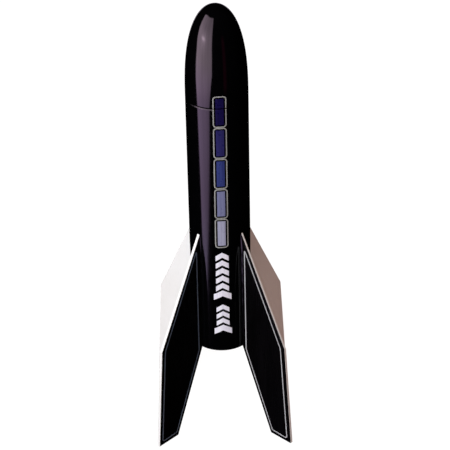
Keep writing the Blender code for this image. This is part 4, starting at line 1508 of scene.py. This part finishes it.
class Studio(Graph):
    """The world's node tree; azimuth and elevation are those of the ray."""

    def __init__(self, tree):
        super().__init__(tree)
        x, y, z = self.split(self.node("ShaderNodeTexCoord").outputs["Generated"])
        self.turn = self.azimuth(x, y)
        self.elevation = self.product(self.calc("ARCSINE", z, 0.0), DEGREES)

    def piecewise(self, value, stops, over, out):
        """A straight-line curve through stops (x, y)."""
        span, height = over[1] - over[0], out[1] - out[0]
        colours = []
        for x, y in stops:
            grey = (y - out[0]) / height
            colours.append(((x - over[0]) / span, (grey, grey, grey, 1)))
        return self.remap(self.ramp(self.remap(value, over), colours), (0.0, 1.0), out)

    def flip(self, value):
        return self.calc("SUBTRACT", 1.0, value)

    def spot(self, turn, turn_width, elevation, elevation_width):
        """A soft round spot; turn is its azimuth to the left of the front."""
        across = self.calc("DIVIDE", self.calc("ADD", self.turn, turn), turn_width)
        lift = self.calc("SUBTRACT", self.elevation, elevation)
        lift = self.calc("DIVIDE", lift, elevation_width)
        square = self.calc("ADD", self.product(across, across), self.product(lift, lift))
        return self.calc("POWER", 2.718, self.product(square, -1.0))

    def background(self, colour, strength):
        return self.node("ShaderNodeBackground",
                         {"Color": colour, "Strength": strength}).outputs[0]

    def sum(self, first, second):
        return self.node("ShaderNodeAddShader", {0: first, 1: second}).outputs[0]

    def soft_box(self):
        turn, elevation = self.turn, self.elevation
        left = self.piecewise(elevation, LEFT_EDGE, BOX_ELEVATION, AZIMUTH_SPAN)
        right = self.piecewise(elevation, RIGHT_EDGE, BOX_ELEVATION, AZIMUTH_SPAN)
        top = self.piecewise(turn, TOP_EDGE, AZIMUTH_SPAN, (0.0, 90.0))
        from_left = self.calc("SUBTRACT", turn, left)
        inside = self.product(
            self.step(from_left, -1.0, 2.0),
            self.step(self.calc("SUBTRACT", right, turn), -0.6, 1.4),
            self.step(self.calc("SUBTRACT", top, elevation), -1.0, 3.0),
            self.step(elevation, -34.2, -33.2))
        width = self.calc("MAXIMUM", self.calc("SUBTRACT", right, left), 1.0)
        across = self.calc("DIVIDE", from_left, width)
        fall_low = self.piecewise(across, FALL_LOW, (0.0, 1.0), (0.0, 2.0))
        fall_high = self.piecewise(across, FALL_HIGH, (0.0, 1.0), (0.0, 2.0))
        high = self.step(elevation, -22.0, -14.0)
        fall = self.calc("ADD", self.product(fall_low, self.flip(high)),
                         self.product(fall_high, high))
        up_gain = self.piecewise(elevation, UP_GAIN, BOX_ELEVATION, (0.0, 2.0))
        # upright streaks: close together across, long in elevation
        place = self.node("ShaderNodeCombineXYZ", {"X": self.product(turn, 0.10),
                                                   "Y": self.product(elevation, 0.012),
                                                   "Z": 0.0}).outputs["Vector"]
        streaks = self.node("ShaderNodeTexNoise", {"Vector": place, "Scale": 1.0, "Detail": 3.0,
                                                   "Roughness": 0.5}).outputs["Fac"]
        streak_gain = self.remap(streaks, over=(0.3, 0.7), to=(0.86, 1.14))
        level = self.product(inside, fall, up_gain, streak_gain)
        # the lamp's hot spot behind the cloth, and the glow round it
        hot = self.spot(turn=55.5, turn_width=7.5, elevation=5.7, elevation_width=2.0)
        level = self.calc("ADD", level, self.product(hot, 1.5))
        glow = self.spot(turn=54.0, turn_width=11.0, elevation=5.0, elevation_width=9.0)
        level = self.calc("ADD", level, self.product(glow, inside, 0.5))
        tone = self.ramp(self.remap(elevation, over=(-34.0, 0.0)),
                         [((at + 34.0) / 34.0, (*colour, 1)) for at, colour in TONES])
        return self.background(tone, self.product(level, BOX_STRENGTH))

    def red_card(self):
        """A faint deep-red card on the right."""
        sides = self.product(self.step(self.turn, 22.0, 27.0),
                             self.step(self.product(self.turn, -1.0), -40.0, -32.0))
        ends = self.product(self.step(self.elevation, -27.0, -22.0),
                            self.step(self.product(self.elevation, -1.0), -16.0, -4.0))
        strength = self.product(self.product(sides, ends), 0.10)
        return self.background((1.0, 0.06, 0.32, 1), strength)

    def back_box(self):
        """A second soft box behind, above the level at which the front view sees it."""
        centre = 182.0
        parts = [self.calc(wave, self.calc("DIVIDE", self.calc("SUBTRACT", self.turn, centre),
                                           DEGREES), 0.0) for wave in ("SINE", "COSINE")]
        turn = self.product(self.calc("ARCTAN2", *parts), DEGREES)
        away = self.calc("ABSOLUTE", turn, 0.0)
        height = self.product(self.step(self.elevation, -21.5, -18.0),
                              self.flip(self.step(self.elevation, -6.0, 2.0)))
        mask = self.product(self.flip(self.step(away, 19.0, 22.0)), height)
        return self.background((0.93, 0.84, 1.0, 1), self.product(mask, 0.7))


def build_world():
    world = bpy.data.worlds.new("studio")
    bpy.context.scene.world = world
    world.use_nodes = True
    world.node_tree.nodes.clear()
    studio = Studio(world.node_tree)
    reflected = studio.sum(studio.sum(studio.soft_box(), studio.back_box()), studio.red_card())
    fill = studio.background((1.0, 0.68, 0.60, 1), 0.31)
    pale = studio.background((1, 1, 1, 1), 1.0)
    ray = studio.node("ShaderNodeLightPath").outputs
    unseen = studio.node("ShaderNodeMixShader",
                         {0: ray["Is Glossy Ray"], 1: fill, 2: reflected}).outputs[0]
    whole = studio.node("ShaderNodeMixShader",
                        {0: ray["Is Camera Ray"], 1: unseen, 2: pale}).outputs[0]
    studio.node("ShaderNodeOutputWorld", {"Surface": whole})


build_world()


# ---------------------------------------------------------------- lights
def area_light(name, azimuth, elevation, size, power, colour):
    """A square light 2 m from the rocket's middle; azimuth runs from the front to the right."""
    data = bpy.data.lights.new(name, "AREA")
    data.shape = "SQUARE"
    data.size = size
    data.energy = power
    data.color = colour
    light = add_object(name, data)
    turn, lift = math.radians(azimuth), math.radians(elevation)
    away = Vector((math.sin(turn) * math.cos(lift), -math.cos(turn) * math.cos(lift),
                   math.sin(lift)))
    light.location = Vector((0, 0, 0.12)) + away * 2.0
    light.rotation_mode = "QUATERNION"
    light.rotation_quaternion = away.to_track_quat("Z", "Y")
    light.visible_glossy = False


area_light("key_soft", azimuth=-40, elevation=34, size=0.8, power=47.8,
           colour=(0.857, 0.949, 1.0))
area_light("rim_soft", azimuth=158, elevation=24, size=1.0, power=20.0,
           colour=(1.0, 0.95, 0.92))


# ---------------------------------------------------------------- camera
def build_camera():
    """A long lens in front of the rocket, looking down at it."""
    data = bpy.data.cameras.new("camera")
    camera = add_object("camera", data)
    pitch, yaw, roll = 0.5524, 0.0033, -0.0210  # radians
    orbit = math.radians(-0.33)                 # turn about the rocket's axis
    forward = Vector((math.sin(yaw) * math.cos(pitch), math.cos(yaw) * math.cos(pitch),
                      -math.sin(pitch)))
    level = forward.cross(Vector((0, 0, 1))).normalized()
    upwards = level.cross(forward)
    right = level * math.cos(roll) + upwards * math.sin(roll)
    top = upwards * math.cos(roll) - level * math.sin(roll)
    pose = Matrix((right, top, -forward)).transposed().to_4x4()
    pose.translation = Vector(mm(0, -1091.48, 824.99))
    camera.matrix_world = Matrix.Rotation(orbit, 4, "Z") @ pose
    data.sensor_width = 36.0
    data.lens = 150.6512
    data.clip_start = 0.02
    data.clip_end = 60.0
    bpy.context.scene.camera = camera


build_camera()
bpy.context.scene.view_settings.view_transform = "Standard"
bpy.context.scene.view_settings.look = "None"
